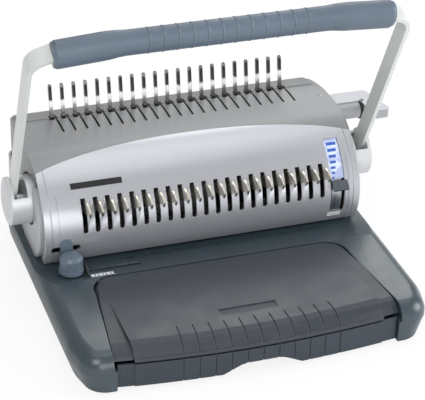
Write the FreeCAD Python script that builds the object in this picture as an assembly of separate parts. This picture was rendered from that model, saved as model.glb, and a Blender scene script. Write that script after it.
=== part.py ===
import FreeCAD
import Part
import math
import os

# Desk binding machine for plastic combs: a barrel-shaped hood over a punch,
# a fork of comb posts on top, a U-shaped punching handle and a base with a
# lid and a chip drawer. Millimetres, +X right, +Y back, +Z up.

V = FreeCAD.Vector

# Teeth of the comb: everything along the machine repeats at this pitch
PITCH = 14.288
TEETH = 21

# Clearances
GAP = 0.3
RUN = 0.05
PIN_GAP = 0.1
SEAM = 0.4

# Hood section, seen from the right: arcs that run into each other
BARREL_Y = 63.5
BARREL_Z = 82.0
BARREL_R = 63.6
SHOULDER_ANGLE = 140.7
BROW_R = 107.0
BROW_ANGLE = 121.0
CROWN_R = 70.0
CROWN_FLAT = 52.0
REAR_ARC_R = 182.6
REAR_Y = 185.0
REAR_ROUND = 6.0
LIP_Z = 46.0
HOOD_HALF = 190.0
HOOD_WALL = 2.6
TOP_HALF = 192.0
TOP_FRONT_HALF = 189.5
TOP_REAR_HALF = 187.5
SKIRT_Z = 105.0
REAR_CORNER_R = 18.0
REAR_COVER_HALF = 193.0
SPLIT_R = 597.7
SPLIT_MID_Y = 73.0
RIDGE_Y = 151.0
RIDGE_H = 1.2
RIDGE_HALF = 184.0
RING_X = 181.5

# Front slots and hooks
SLOT_W = 5.6
SLOT_LOW = 84.0
SLOT_HIGH = 122.1
HOOK_T = 2.2
HOOK_SHIFT = 1.2
HOOK_SHAFT_R = 5.0
CARRIER_HALF = 7.5
HOOK_ROOT_ANGLE = 149.0
HOOK_ROOT_HALF = 7.0

# Comb posts and opening hooks on top
POST_W = 3.8
POST_D = 5.0
POST_TIP_Z = 195.8
POST_FOOT_Z = 127.0
POST_BAR_H = 9.0
POST_BAR_D = 12.0
POST_Y = 151.5
POST_LEAN = 9.5
POST_HOLE_W = 6.4
POST_HOLE_D = 11.0
RAKE_SHIFT = 4.8
RAKE_T = 1.6
RAKE_SLOT_W = 2.6
RAKE_SLOT_FRONT = 113.0
OPENER_Y = 132.0
OPENER_Z = 122.0
OPENER_R = 6.0
RAKE_REACH = 38.8
RAKE_REST = 45.0

# Right-hand opening lever
LEVER_TUBE_R = 10.5
LEVER_IN = 196.0
LEVER_TUBE_END = 245.0
LEVER_CLOSED = 14.0
LEVER_TOP = 134.0
LEVER_T = 11.0
LEVER_BACK = 157.0
LEVER_CORNER = 257.0
LEVER_END = 269.0
LEVER_FRONT = 100.0
LEVER_PADDLE_IN = 242.0

# Handle
PIVOT_Y = 63.5
PIVOT_Z = 103.7
SHAFT_R = 7.0
LEAN = 26.57
ARM_IN = 210.0
ARM_T = 4.6
ARM_W = 22.0
ARM_BACK = 4.0
ARM_TOP = 249.0
GRIP_END_S = 260.5
GRIP_MID_S = 266.5
GRIP_HALF = 189.0
GRIP_FLAT = 122.0
GRIP_A = 17.0
GRIP_B = 14.2
GRIP_WAIST = 0.89
GRIP_SIDES = 18
GRIP_RIBS = 12
GRIP_RIB_PITCH = 16.0
GRIP_RIB_H = 0.5
GRIP_RIB_W = 2.4
HUB_R = 28.0
HUB_IN = 188.0
HUB_WEB = 199.0
HUB_WALL = 3.5
HUB_OUT = 218.0
HUB_EDGE = 1.6
WINDOW_FRONT = 148.0
WINDOW_REAR = 35.0
HUB_DOME = 6.0
CAM_R = 13.5
CAM_OFF = 10.8
CAM_ANGLE = 152.5
CAM_IN = 168.0
CAM_OUT = 178.0

# Chassis inside the hood
CHASSIS_X = 181.0
CHASSIS_T = 3.0
PANEL_IN = 185.0
PANEL_OUT = 188.0
CHEEK_R = 50.0
CHEEK_OUT = 194.5
HUB_HOLE_R = 31.0
PANEL_STEP_Y = 42.5
TIE_W = 7.0

# Punch
DECK_Z = 41.0
DIE_Y = 32.5
DIE_D = 22.0
DIE_T = 5.0
THROAT = 5.2
GUIDE_T = 5.8
PIN_W = 7.8
PIN_D = 2.8
BAR_Z = 62.5
BAR_H = 10.0
BAR_D = 10.0
THROAT_HALF = 152.0
YOKE_T = 6.0
YOKE_GAP = 0.6

# Base
BASE_HALF = 205.0
BASE_REAR_HALF = 197.0
BASE_FRONT = -194.0
BASE_BOTTOM = 4.0
BASE_MID_Z = 27.0
BASE_TOP = 49.0
BASE_WALL = 3.0
BASE_UNDER = 8.0
BASE_SHOULDER = 18.0
TABLE_FRONT = -39.0
TABLE_BACK = 8.0
TABLE_UNDER = 36.0
FLOOR_T = 2.5
FOOT_L = 22.0
FOOT_W = 16.0
BAY_HALF = 161.0

# Lid over the front compartment
LID_TOP = 52.5
LID_TOP_REAR = 49.6
LID_WALL = 2.4
LID_REAR = -39.0
LID_REAR_HALF = 150.0
LID_FRONT_HALF = 163.0
LID_REAR_R = 26.0
LID_GAP = 1.1
LID_ROLL = 26.0
LID_FLATS = 4
LID_BOTTOM = 37.0
LID_LIP = 3.0
LID_LIP_H = 3.6
LID_SIDE_HALF = 142.0
LID_SIDE_START = -98.0
LID_SIDE_DROP = 4.5
LID_SIDE_BACK = 2.0
LID_CHAMFER = 3.0
BOW = 11.0
BOW_MID = -202.0
BOW_SWEEP = 10.0
GROOVES = 11
GROOVE_PITCH = 17.9
GROOVE_W = 1.3
GROOVE_D = 1.1
LID_PIN_R = 1.6
LID_PIN_Y = -43.0
LID_PIN_Z = 46.4
LID_PIN_IN = 130.0
LID_PIN_OUT = 146.0
PULL_REAR = -142.5
PULL_FRONT = -156.0
PULL_LEFT = -33.0
PULL_RIGHT = 32.0
PULL_DEPTH = 1.4

# Tray under the lid
TRAY_HALF = 146.0
TRAY_LOW = 31.0
TRAY_HIGH = 44.0
TRAY_FRONT = -172.0
TRAY_REAR = -54.0
TRAY_WALL = 2.0

# Chip drawer
DRAWER_HALF = 148.0
DRAWER_BACK = 47.0
DRAWER_BOTTOM = 8.3
DRAWER_TOP = 28.0
DRAWER_WALL = 2.0
DRAWER_FACE_T = 3.0
DRAWER_FACE_LOW = 6.6
DRAWER_FACE_HIGH = 34.4
DRAWER_SET_BACK = 0.6
DRAWER_WING_BACK = 1.2
DRAWER_TRAY_FRONT = -183.0
ARCH_HALF = 47.0
ARCH_TOP_HALF = 22.0
ARCH_H = 11.0

# Edge guide
GUIDE_X = -165.0
GUIDE_Y = -17.0
GUIDE_R = 14.5
GUIDE_SLOT_L = -182.0
GUIDE_SLOT_R = -84.0
GUIDE_SLOT_W = 5.0
GUIDE_H = 20.0
KNOB_SIDES = 28
GUIDE_STEM_R = 2.1
GUIDE_FOOT_HALF = 11.0
GUIDE_FOOT_T = 1.2
FENCE_T = 2.6
FENCE_H = 9.0

# Depth selector
DEPTH_X = -166.0
DEPTH_Z = 67.0
DEPTH_SLOT_HALF = 17.0
DEPTH_SLOT_H = 8.0
DEPTH_LUG_W = 14.0
DEPTH_LUG_LOW = 10.0
DEPTH_LUG_HIGH = 13.6
DEPTH_LUG_OUT = 3.8

# Size window
WINDOW_L = 153.5
WINDOW_R = 171.0
WINDOW_LOW = 62.0
WINDOW_HIGH = 142.0
LABEL_LOW = 104.5
RAIL_L = 155.0
RAIL_R = 167.3
SLIDER_TOP = 161.5
SLIDER_LOW = 170.5

# The origin is under the middle of the whole machine
DOME_X = HUB_OUT + HUB_DOME
MID_X = (LEVER_END - DOME_X) / 2.0
MID_Y = (REAR_Y + BOW_MID) / 2.0


def box(x0, x1, y0, y1, z0, z1):
    return Part.makeBox(x1 - x0, y1 - y0, z1 - z0, V(x0, y0, z0))


def rod_x(radius, x0, x1, y, z):
    return Part.makeCylinder(radius, x1 - x0, V(x0, y, z), V(1, 0, 0))


def rod_y(radius, y0, y1, x, z):
    return Part.makeCylinder(radius, y1 - y0, V(x, y0, z), V(0, 1, 0))


def rod_z(radius, z0, z1, x, y):
    return Part.makeCylinder(radius, z1 - z0, V(x, y, z0), V(0, 0, 1))


def mirrored(shape):
    return shape.mirror(V(0, 0, 0), V(1, 0, 0))


def both_sides(shape):
    return Part.makeCompound([shape, mirrored(shape)])


def tooth_x(i):
    return (i - (TEETH - 1) / 2.0) * PITCH


def in_plan(u, v, level):
    return V(u, v, level)


def in_side(u, v, level):
    return V(level, u, v)


def rounded_wire(points, radii, place, level):
    """Closed wire through 2-D points with an arc at each corner."""
    count = len(points)
    ends = []
    for i in range(count):
        here = V(points[i][0], points[i][1], 0)
        back = V(points[i - 1][0], points[i - 1][1], 0) - here
        ahead = V(points[(i + 1) % count][0], points[(i + 1) % count][1], 0) - here
        back.normalize()
        ahead.normalize()
        half = back.getAngle(ahead) / 2.0
        radius = radii[i]
        if radius <= 0:
            ends.append((here, here, here))
            continue
        run = radius / math.tan(half)
        middle = back + ahead
        middle.normalize()
        nearest = here + middle * (radius / math.sin(half) - radius)
        ends.append((here + back * run, nearest, here + ahead * run))
    edges = []
    for i in range(count):
        start, nearest, stop = ends[i]
        if radii[i] > 0:
            edges.append(Part.Arc(*[place(p.x, p.y, level) for p in (start, nearest, stop)]).toShape())
        following = ends[(i + 1) % count][0]
        if stop.distanceToPoint(following) > 1e-6:
            edges.append(Part.makeLine(place(stop.x, stop.y, level), place(following.x, following.y, level)))
    return Part.Wire(edges)


def plan_plate(points, radii, z0, z1):
    wire = rounded_wire(points, radii, in_plan, z0)
    return Part.Face(wire).extrude(V(0, 0, z1 - z0))


def side_plate(points, radii, x0, x1):
    wire = rounded_wire(points, radii, in_side, x0)
    return Part.Face(wire).extrude(V(x1 - x0, 0, 0))


def in_front(u, v, level):
    return V(u, level, v)


def front_plate(points, radii, y0, y1):
    wire = rounded_wire(points, radii, in_front, y0)
    return Part.Face(wire).extrude(V(0, y1 - y0, 0))


def on_circle(centre, radius, degrees):
    angle = math.radians(degrees)
    return (centre[0] + radius * math.cos(angle), centre[1] + radius * math.sin(angle))


def side_arc(centre, radius, start, stop, x):
    points = [on_circle(centre, radius, a) for a in (start, (start + stop) / 2.0, stop)]
    return Part.Arc(*[V(x, p[0], p[1]) for p in points]).toShape()


def next_centre(centre, radius, new_radius, degrees):
    return on_circle(centre, radius - new_radius, degrees)


BARREL = (BARREL_Y, BARREL_Z)
BROW = next_centre(BARREL, BARREL_R, BROW_R, SHOULDER_ANGLE)
CROWN = next_centre(BROW, BROW_R, CROWN_R, BROW_ANGLE)
CROWN_Z = CROWN[1] + CROWN_R
REAR_ARC = (CROWN[0] + CROWN_FLAT, CROWN_Z - REAR_ARC_R)


def rear_corner():
    """Centre of the rounding between the rear arc and the rear wall, and its angle."""
    y = REAR_Y - REAR_ROUND
    reach = REAR_ARC_R - REAR_ROUND
    z = REAR_ARC[1] + math.sqrt(reach ** 2 - (y - REAR_ARC[0]) ** 2)
    angle = math.degrees(math.atan2(z - REAR_ARC[1], y - REAR_ARC[0]))
    return (y, z), angle


def hood_face(inset, low, x):
    """The hood's section, moved inwards by inset and cut off level at low."""
    corner, corner_angle = rear_corner()
    radius = BARREL_R - inset
    start = 180.0 + math.degrees(math.asin((BARREL_Z - low) / radius))
    crown_z = CROWN_Z - inset
    first = on_circle(BARREL, radius, start)
    edges = [
        side_arc(BARREL, radius, start, SHOULDER_ANGLE, x),
        side_arc(BROW, BROW_R - inset, SHOULDER_ANGLE, BROW_ANGLE, x),
        side_arc(CROWN, CROWN_R - inset, BROW_ANGLE, 90.0, x),
        Part.makeLine(V(x, CROWN[0], crown_z), V(x, REAR_ARC[0], crown_z)),
        side_arc(REAR_ARC, REAR_ARC_R - inset, 90.0, corner_angle, x),
        side_arc(corner, REAR_ROUND - inset, corner_angle, 0.0, x),
        Part.makeLine(V(x, REAR_Y - inset, corner[1]), V(x, REAR_Y - inset, low)),
        Part.makeLine(V(x, REAR_Y - inset, low), V(x, first[0], first[1])),
    ]
    return Part.Face(Part.Wire(edges))


def hood_solid(inset, low, half):
    return hood_face(inset, low, -half).extrude(V(2 * half, 0, 0))


def hood_band(outer, inner, low, x0, x1):
    """A strip of skin between two insets of the hood's section."""
    skin = hood_face(outer, low, x0).extrude(V(x1 - x0, 0, 0))
    return skin.cut(hood_face(inner, low - 1.0, x0 - 1.0).extrude(V(x1 - x0 + 2.0, 0, 0)))


def split_front(extra):
    """All that lies in front of the arched seam between barrel and top cover."""
    return rod_z(SPLIT_R + extra, LIP_Z - 10.0, CROWN_Z + 10.0, 0, SPLIT_MID_Y - SPLIT_R)


def top_height(y):
    """Height of the hood's top skin above the rear arc."""
    if y <= REAR_ARC[0]:
        return CROWN_Z
    return REAR_ARC[1] + math.sqrt(REAR_ARC_R ** 2 - (y - REAR_ARC[0]) ** 2)


def barrel_front(z):
    """How far forward the barrel's skin stands at a height."""
    return BARREL_Y - math.sqrt(BARREL_R ** 2 - (z - BARREL_Z) ** 2)


def front_slots():
    """Twenty-one slots, square at the top and rounded off in three flats at the foot."""
    half = SLOT_W / 2.0
    near = half * math.tan(math.radians(22.5))
    y0 = BARREL_Y - BARREL_R - 5.0
    cuts = []
    for i in range(TEETH):
        x = tooth_x(i)
        outline = [(x - half, SLOT_HIGH), (x - half, SLOT_LOW + half - near), (x - near, SLOT_LOW),
                   (x + near, SLOT_LOW), (x + half, SLOT_LOW + half - near), (x + half, SLOT_HIGH)]
        cuts.append(front_plate(outline, [0] * len(outline), y0, BARREL_Y - 25.0))
    return Part.makeCompound(cuts)


def ring_grooves(half_lines):
    """Fine grooves round the barrel near its two ends."""
    depth = 0.7
    width = 0.9
    cuts = []
    for line in half_lines:
        groove = hood_band(-1.0, depth, LIP_Z - 5.0, line - width / 2.0, line + width / 2.0)
        cuts.append(groove)
        cuts.append(mirrored(groove))
    return Part.makeCompound(cuts)


def depth_slot():
    """Flat oval slot for the depth selector, low at the left end."""
    end = DEPTH_SLOT_H / 2.0
    reach = DEPTH_SLOT_HALF - end
    y0 = BARREL_Y - BARREL_R - 5.0
    y1 = BARREL_Y - 40.0
    middle = box(DEPTH_X - reach, DEPTH_X + reach, y0, y1, DEPTH_Z - end, DEPTH_Z + end)
    left = rod_y(end, y0, y1, DEPTH_X - reach, DEPTH_Z)
    right = rod_y(end, y0, y1, DEPTH_X + reach, DEPTH_Z)
    return middle.fuse(left).fuse(right)


def barrel_cover():
    skin = hood_band(0.0, HOOD_WALL, LIP_Z, -HOOD_HALF, HOOD_HALF).common(split_front(0.0))
    skin = skin.cut(front_slots())
    skin = skin.cut(ring_grooves([RING_X]))
    skin = skin.cut(depth_slot())
    window = box(WINDOW_L, WINDOW_R, -10.0, BARREL_Y, WINDOW_LOW, WINDOW_HIGH)
    return skin.cut(window)


def hood_plan(inset, low, high):
    """Plan of the top cover: sides that swell a little and rounded rear corners."""
    front = TOP_FRONT_HALF - inset
    middle = TOP_HALF + 1.0 - inset
    rear_half = TOP_REAR_HALF - inset
    rear = REAR_Y - inset
    corner = REAR_CORNER_R - inset
    right = [(front, 30.0), (middle, 92.0), (middle, 128.0), (rear_half, rear)]
    left = [(-x, y) for x, y in right[::-1]]
    points = [(-front, -10.0), (front, -10.0)] + right + left
    soft = 240.0
    return plan_plate(points, [0, 0, soft, soft, soft, corner, corner, soft, soft, soft], low, high)


def rear_plan(inset, low, high):
    half = REAR_COVER_HALF - inset
    rear = REAR_Y - inset
    corner = REAR_CORNER_R - inset
    points = [(-half, -10.0), (half, -10.0), (half, rear), (-half, rear)]
    return plan_plate(points, [0, 0, corner, corner], low, high)


def cheek_wells():
    """Round clearances in the covers for the end cheeks and the hubs."""
    x0 = HOOD_HALF - HOOD_WALL - 3.0
    x1 = REAR_COVER_HALF + 3.0
    cheek = rod_x(CHEEK_R + GAP, x0, x1, BARREL_Y, BARREL_Z)
    return both_sides(cheek.fuse(rod_x(HUB_HOLE_R, x0, x1, PIVOT_Y, PIVOT_Z)))


def post_cuts():
    """A dark well round each post and a narrow slot running forward beside it."""
    half = POST_HOLE_W / 2.0
    rear = POST_Y + 6.0
    front = rear - POST_HOLE_D
    slot_l = RAKE_SHIFT - RAKE_SLOT_W / 2.0
    slot_r = RAKE_SHIFT + RAKE_SLOT_W / 2.0
    cuts = []
    for i in range(TEETH):
        x = tooth_x(i)
        outline = [(x - half, rear), (x - half, front), (x + slot_l, front), (x + slot_l, RAKE_SLOT_FRONT),
                   (x + slot_r, RAKE_SLOT_FRONT), (x + slot_r, rear)]
        cuts.append(plan_plate(outline, [0] * len(outline), CROWN_Z - 30.0, CROWN_Z + 10.0))
    return Part.makeCompound(cuts)


def top_cover():
    """Rear cover shell with a raised strip behind the posts."""
    top = CROWN_Z + 10.0
    half = TOP_HALF + 5.0
    outer = hood_solid(0.0, SKIRT_Z, half)
    ridge = hood_solid(-RIDGE_H, SKIRT_Z, RIDGE_HALF)
    ridge = ridge.common(box(-RIDGE_HALF, RIDGE_HALF, RIDGE_Y, REAR_Y, SKIRT_Z, top))
    outer = outer.fuse(ridge).common(hood_plan(0.0, SKIRT_Z, top))
    inner = hood_solid(HOOD_WALL, SKIRT_Z - 5.0, half).common(hood_plan(HOOD_WALL, SKIRT_Z - 5.0, top))
    shell = outer.cut(inner).cut(split_front(SEAM))
    shell = shell.cut(post_cuts()).cut(cheek_wells())
    return shell.cut(rod_x(OPENER_R + GAP * 3, CHASSIS_X, half, OPENER_Y, OPENER_Z))


def rear_cover():
    """Lower rear shell, a little wider than the cover above it."""
    rear = REAR_Y
    high = SKIRT_Z - SEAM
    front = 101.0
    outer = rear_plan(0.0, DECK_Z, high)
    inner = rear_plan(HOOD_WALL, DECK_Z - 1.0, high + 1.0)
    half = REAR_COVER_HALF + 1.0
    shell = outer.cut(inner).cut(box(-half, half, -20.0, front, DECK_Z - 2.0, high + 2.0))
    vents = []
    for i in range(9):
        x = (i - 4) * 14.0
        vents.append(box(x - 2.0, x + 2.0, rear - 5.0, rear + 1.0, 62.0, 88.0))
    return shell.cut(Part.makeCompound(vents)).cut(cheek_wells())


def side_panel():
    """End panel inside the barrel's rim; its round cheek stands out and takes in the hub's well."""
    panel = hood_face(HOOD_WALL + GAP, DECK_Z, PANEL_IN).extrude(V(PANEL_OUT - PANEL_IN, 0, 0))
    panel = panel.cut(box(PANEL_IN - 1, PANEL_OUT + 1, 165.0, 200.0, DECK_Z - 1, CROWN_Z))
    above = box(PANEL_IN - 1, PANEL_OUT + 1, PANEL_STEP_Y, 200.0, SKIRT_Z - GAP, CROWN_Z)
    panel = panel.cut(above.cut(rod_x(CHEEK_R, PANEL_IN - 2, PANEL_OUT + 2, BARREL_Y, BARREL_Z)))
    edge = 2.0
    cheek = rod_x(CHEEK_R, PANEL_OUT, CHEEK_OUT - edge, BARREL_Y, BARREL_Z)
    rim = Part.makeCone(CHEEK_R, CHEEK_R - edge, edge, V(CHEEK_OUT - edge, BARREL_Y, BARREL_Z), V(1, 0, 0))
    cheek = cheek.fuse(rim)
    cheek = cheek.cut(box(PANEL_IN, CHEEK_OUT + 1, 0.0, 130.0, 0.0, DECK_Z + GAP))
    panel = panel.fuse(cheek)
    return panel.cut(rod_x(HUB_HOLE_R, PANEL_IN - 1, CHEEK_OUT + 1, PIVOT_Y, PIVOT_Z))


def chassis_outline():
    return [(18.0, DECK_Z), (170.0, DECK_Z), (170.0, 138.0), (60.0, 145.0), (24.0, 122.0), (12.0, 96.0)]


def chassis_plate():
    """Steel side frame, bored for both shafts, with a bent foot that stands on the deck."""
    radii = [0, 0, 10.0, 0, 0, 0]
    plate = side_plate(chassis_outline(), radii, CHASSIS_X, CHASSIS_X + CHASSIS_T)
    plate = plate.fuse(box(CHASSIS_X - 14.0, CHASSIS_X, 62.0, 168.0, DECK_Z, DECK_Z + CHASSIS_T))
    x0 = CHASSIS_X - 1.0
    x1 = CHASSIS_X + CHASSIS_T + 1.0
    plate = plate.cut(rod_x(SHAFT_R + RUN, x0, x1, PIVOT_Y, PIVOT_Z))
    return plate.cut(rod_x(OPENER_R + RUN, x0, x1, OPENER_Y, OPENER_Z))


def tie_bars():
    """Square bars that hold the two side frames apart."""
    half = TIE_W / 2.0
    bars = []
    for y, z in ((104.0, 54.0), (160.0, 54.0), (104.0, 134.0)):
        bars.append(box(-CHASSIS_X, CHASSIS_X, y - half, y + half, z - half, z + half))
    return Part.makeCompound(bars)


def hook_shaft():
    return rod_x(HOOK_SHAFT_R, -CHASSIS_X, CHASSIS_X, BARREL_Y, BARREL_Z)


def punch_holes(width, depth, low, high):
    cuts = []
    for i in range(TEETH):
        x = tooth_x(i)
        cuts.append(box(x - width / 2, x + width / 2, DIE_Y - depth / 2, DIE_Y + depth / 2, low, high))
    return Part.makeCompound(cuts)


def die_plate():
    """Lower blade plate: sheets lie on it and the pins cut through them into it."""
    low = DECK_Z - DIE_T
    plate = box(-THROAT_HALF, THROAT_HALF, DIE_Y - DIE_D / 2, DIE_Y + DIE_D / 2, low, DECK_Z)
    stop = box(-THROAT_HALF, THROAT_HALF, DIE_Y + 7.0, DIE_Y + 9.0, DECK_Z, DECK_Z + THROAT - 0.4)
    plate = plate.fuse(stop)
    return plate.cut(punch_holes(PIN_W + 2 * PIN_GAP, PIN_D + 2 * PIN_GAP, low - 1, DECK_Z + 1))


def punch_guide():
    """Upper plate that keeps the pins in line, standing on two end blocks."""
    low = DECK_Z + THROAT
    high = low + GUIDE_T
    y0 = DIE_Y - DIE_D / 2
    y1 = DIE_Y + DIE_D / 2
    plate = box(-CHASSIS_X, CHASSIS_X, y0, y1, low, high)
    block = box(THROAT_HALF + 6.0, CHASSIS_X, y0, y1, DECK_Z, low)
    plate = plate.fuse(block).fuse(mirrored(block))
    return plate.cut(punch_holes(PIN_W + 2 * PIN_GAP, PIN_D + 2 * PIN_GAP, low - 1, high + 1))


def punch_pins():
    """Rectangular pins with a slanting cutting edge."""
    pins = []
    tip = DECK_Z + THROAT + 0.6
    for i in range(TEETH):
        x = tooth_x(i)
        y0 = DIE_Y - PIN_D / 2
        pin = box(x - PIN_W / 2, x + PIN_W / 2, y0, y0 + PIN_D, tip, BAR_Z)
        bevel = side_plate([(y0 - 1, tip - 1), (y0 + PIN_D, tip - 1), (y0 - 1, tip + 2.4)], [0, 0, 0],
                           x - PIN_W / 2 - 1, x + PIN_W / 2 + 1)
        pins.append(pin.cut(bevel))
    return Part.makeCompound(pins)


def cam_centre():
    return on_circle((PIVOT_Y, PIVOT_Z), CAM_OFF, CAM_ANGLE)


def punch_bar():
    """Cross bar over the pins, with a C-shaped yoke round each cam."""
    reach = (CAM_IN + CAM_OUT + YOKE_T) / 2.0
    y0 = DIE_Y - BAR_D / 2
    y1 = DIE_Y + BAR_D / 2
    bar = box(-reach, reach, y0, y1, BAR_Z, BAR_Z + BAR_H)
    cam = cam_centre()
    low = cam[1] - CAM_R - YOKE_GAP
    high = cam[1] + CAM_R + YOKE_GAP
    column = cam[0] - CAM_R - 2.0
    pad = BARREL_Y - HOOK_SHAFT_R - 2.0
    outline = [(column - 8.0, BAR_Z), (y1, BAR_Z), (y1, low - 7.0), (pad, low - 7.0), (pad, low),
               (column, low), (column, high), (PIVOT_Y, high), (PIVOT_Y, high + 6.0), (column - 8.0, high + 6.0)]
    radii = [0, 0, 0, 0, 0, 0, 0, 0, 0, 6.0]
    x0 = (CAM_IN + CAM_OUT - YOKE_T) / 2.0
    yoke = side_plate(outline, radii, x0, x0 + YOKE_T)
    return bar.fuse(yoke).fuse(mirrored(yoke)).removeSplitter()


def hook_root(along):
    """Point on the carrier's face, measured along it from its middle."""
    angle = math.radians(HOOK_ROOT_ANGLE)
    y = BARREL_Y + CARRIER_HALF * math.cos(angle) - along * math.sin(angle)
    z = BARREL_Z + CARRIER_HALF * math.sin(angle) + along * math.cos(angle)
    return (y, z)


def front_hook_outline():
    return [hook_root(HOOK_ROOT_HALF), hook_root(-HOOK_ROOT_HALF), (40.0, 104.5), (17.5, 118.8), (9.0, 120.9),
            (-1.7, 125.1), (-8.0, 124.4), (-18.2, 121.6), (-18.5, 119.6), (-15.3, 113.2), (-12.6, 113.6),
            (-12.2, 115.6), (-8.0, 112.6), (12.0, 103.4)]


def front_hooks():
    """Opening hooks: steel fingers on the carrier that reach out through the front slots."""
    hooks = []
    outline = front_hook_outline()
    for i in range(TEETH):
        x0 = tooth_x(i) + HOOK_SHIFT - HOOK_T / 2.0
        hooks.append(side_plate(outline, [0] * len(outline), x0, x0 + HOOK_T))
    return Part.makeCompound(hooks)


def hook_carrier():
    """Square bar, bored for the hook shaft, whose front face carries all front hooks."""
    end = tooth_x(TEETH - 1) + 12.0
    half = CARRIER_HALF
    bar = box(-end, end, BARREL_Y - half, BARREL_Y + half, BARREL_Z - half, BARREL_Z + half)
    bar = bar.rotated(V(0, BARREL_Y, BARREL_Z), V(1, 0, 0), HOOK_ROOT_ANGLE - 90.0)
    return bar.cut(rod_x(HOOK_SHAFT_R + RUN, -end - 1, end + 1, BARREL_Y, BARREL_Z))


def post_shape(x):
    """One post: an upright blade that leans back, bevelled to its tip on all four sides."""
    lean = math.tan(math.radians(POST_LEAN))
    foot_y = POST_Y - lean * (top_height(POST_Y) - POST_FOOT_Z)
    tip_y = POST_Y + lean * (POST_TIP_Z - top_height(POST_Y))
    back = tip_y + POST_D * 0.7
    outline = [(foot_y, POST_FOOT_Z), (foot_y + POST_D, POST_FOOT_Z), (back, POST_TIP_Z - 3.0),
               (back - 1.4, POST_TIP_Z - 0.4), (tip_y + 0.5, POST_TIP_Z), (tip_y, POST_TIP_Z - 0.8)]
    half = POST_W / 2.0
    blade = side_plate(outline, [0] * len(outline), x - half, x + half)
    cap = [(x - half, POST_FOOT_Z - 1), (x + half, POST_FOOT_Z - 1), (x + half, POST_TIP_Z - 1.6),
           (x + half - 1.0, POST_TIP_Z), (x - half + 1.0, POST_TIP_Z), (x - half, POST_TIP_Z - 1.6)]
    return blade.common(front_plate(cap, [0] * len(cap), foot_y - 5.0, foot_y + 35.0))


def comb_posts():
    return Part.makeCompound([post_shape(tooth_x(i)) for i in range(TEETH)])


def post_bar():
    """Bar between the side frames that the posts stand on."""
    lean = math.tan(math.radians(POST_LEAN))
    middle = POST_Y - lean * (top_height(POST_Y) - POST_FOOT_Z) + POST_D / 2.0
    half = POST_BAR_D / 2.0
    return box(-CHASSIS_X, CHASSIS_X, middle - half, middle + half, POST_FOOT_Z - POST_BAR_H, POST_FOOT_Z)


def rake_hooks():
    """Opening hooks that lie under the cover at rest and swing up through its slots."""
    hooks = []
    turn = math.radians(RAKE_REST)
    local = [(OPENER_R, -4.5), (RAKE_REACH - 1.0, -2.6), (RAKE_REACH, 0.0), (RAKE_REACH - 1.0, 5.0),
             (RAKE_REACH - 3.5, 5.0), (RAKE_REACH - 6.0, 2.4), (OPENER_R, 4.5)]
    outline = []
    for u, v in local:
        y = OPENER_Y + u * math.cos(turn) - v * math.sin(turn)
        z = OPENER_Z + u * math.sin(turn) + v * math.cos(turn)
        outline.append((y, z))
    for i in range(TEETH):
        x0 = tooth_x(i) + RAKE_SHIFT - RAKE_T / 2.0
        hooks.append(side_plate(outline, [0] * len(outline), x0, x0 + RAKE_T))
    return Part.makeCompound(hooks)


def opener_shaft():
    return rod_x(OPENER_R, -CHASSIS_X - CHASSIS_T, LEVER_TUBE_END - LEVER_CLOSED, OPENER_Y, OPENER_Z)


def opener_lever():
    """Moulded side lever: a tube on the shaft, a flat top plate and a paddle for the hand."""
    low = LEVER_TOP - LEVER_T
    wall = 3.0
    outline = [(LEVER_IN + 11.0, OPENER_Y - 1.0), (LEVER_PADDLE_IN, OPENER_Y - 1.0), (LEVER_PADDLE_IN, LEVER_FRONT),
               (LEVER_END, LEVER_FRONT), (LEVER_CORNER, LEVER_BACK), (LEVER_IN + 11.0, LEVER_BACK)]
    plate = plan_plate(outline, [0, 3.0, 4.0, 5.0, 6.0, 3.0], low, LEVER_TOP)
    pocket = [(LEVER_IN + 14.0, OPENER_Y - 5.0), (LEVER_CORNER - 5.0, OPENER_Y - 5.0),
              (LEVER_CORNER - 5.0, LEVER_BACK - wall), (LEVER_IN + 14.0, LEVER_BACK - wall)]
    plate = plate.cut(plan_plate(pocket, [0, 0, 4.0, 2.0], low - 1.0, LEVER_TOP - wall))
    tube = rod_x(LEVER_TUBE_R, LEVER_IN, LEVER_TUBE_END, OPENER_Y, OPENER_Z)
    lever = plate.fuse(tube)
    return lever.cut(rod_x(OPENER_R, LEVER_IN - 1, LEVER_TUBE_END - LEVER_CLOSED, OPENER_Y, OPENER_Z))


def lean_point(x, along, forward):
    """Place a point of the handle: along the arms from the pivot, and forward of them."""
    angle = math.radians(LEAN)
    y = PIVOT_Y - along * math.sin(angle) - forward * math.cos(angle)
    z = PIVOT_Z + along * math.cos(angle) - forward * math.sin(angle)
    return V(x, y, z)


def leaned(shape):
    """Tip a shape built upright on the pivot forward by the rest angle."""
    return shape.rotated(V(0, PIVOT_Y, PIVOT_Z), V(1, 0, 0), LEAN)


def strip_outline(middle, thickness):
    """Outline of a flat bar bent along a chain of points, mitred at each bend."""
    sides = []
    for side in (thickness / 2.0, -thickness / 2.0):
        row = []
        for i in range(len(middle)):
            here = V(middle[i][0], middle[i][1], 0)
            before = here - V(middle[max(i - 1, 0)][0], middle[max(i - 1, 0)][1], 0)
            after = V(middle[min(i + 1, len(middle) - 1)][0], middle[min(i + 1, len(middle) - 1)][1], 0) - here
            if before.Length < 1e-9:
                before = after
            if after.Length < 1e-9:
                after = before
            before.normalize()
            after.normalize()
            normal = V(-before.y - after.y, before.x + after.x, 0)
            normal.normalize()
            across = V(-before.y, before.x, 0)
            offset = side / max(normal.dot(across), 0.2)
            point = here + normal * offset
            row.append((point.x, point.y))
        sides.append(row)
    return sides[0] + sides[1][::-1]


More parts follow.
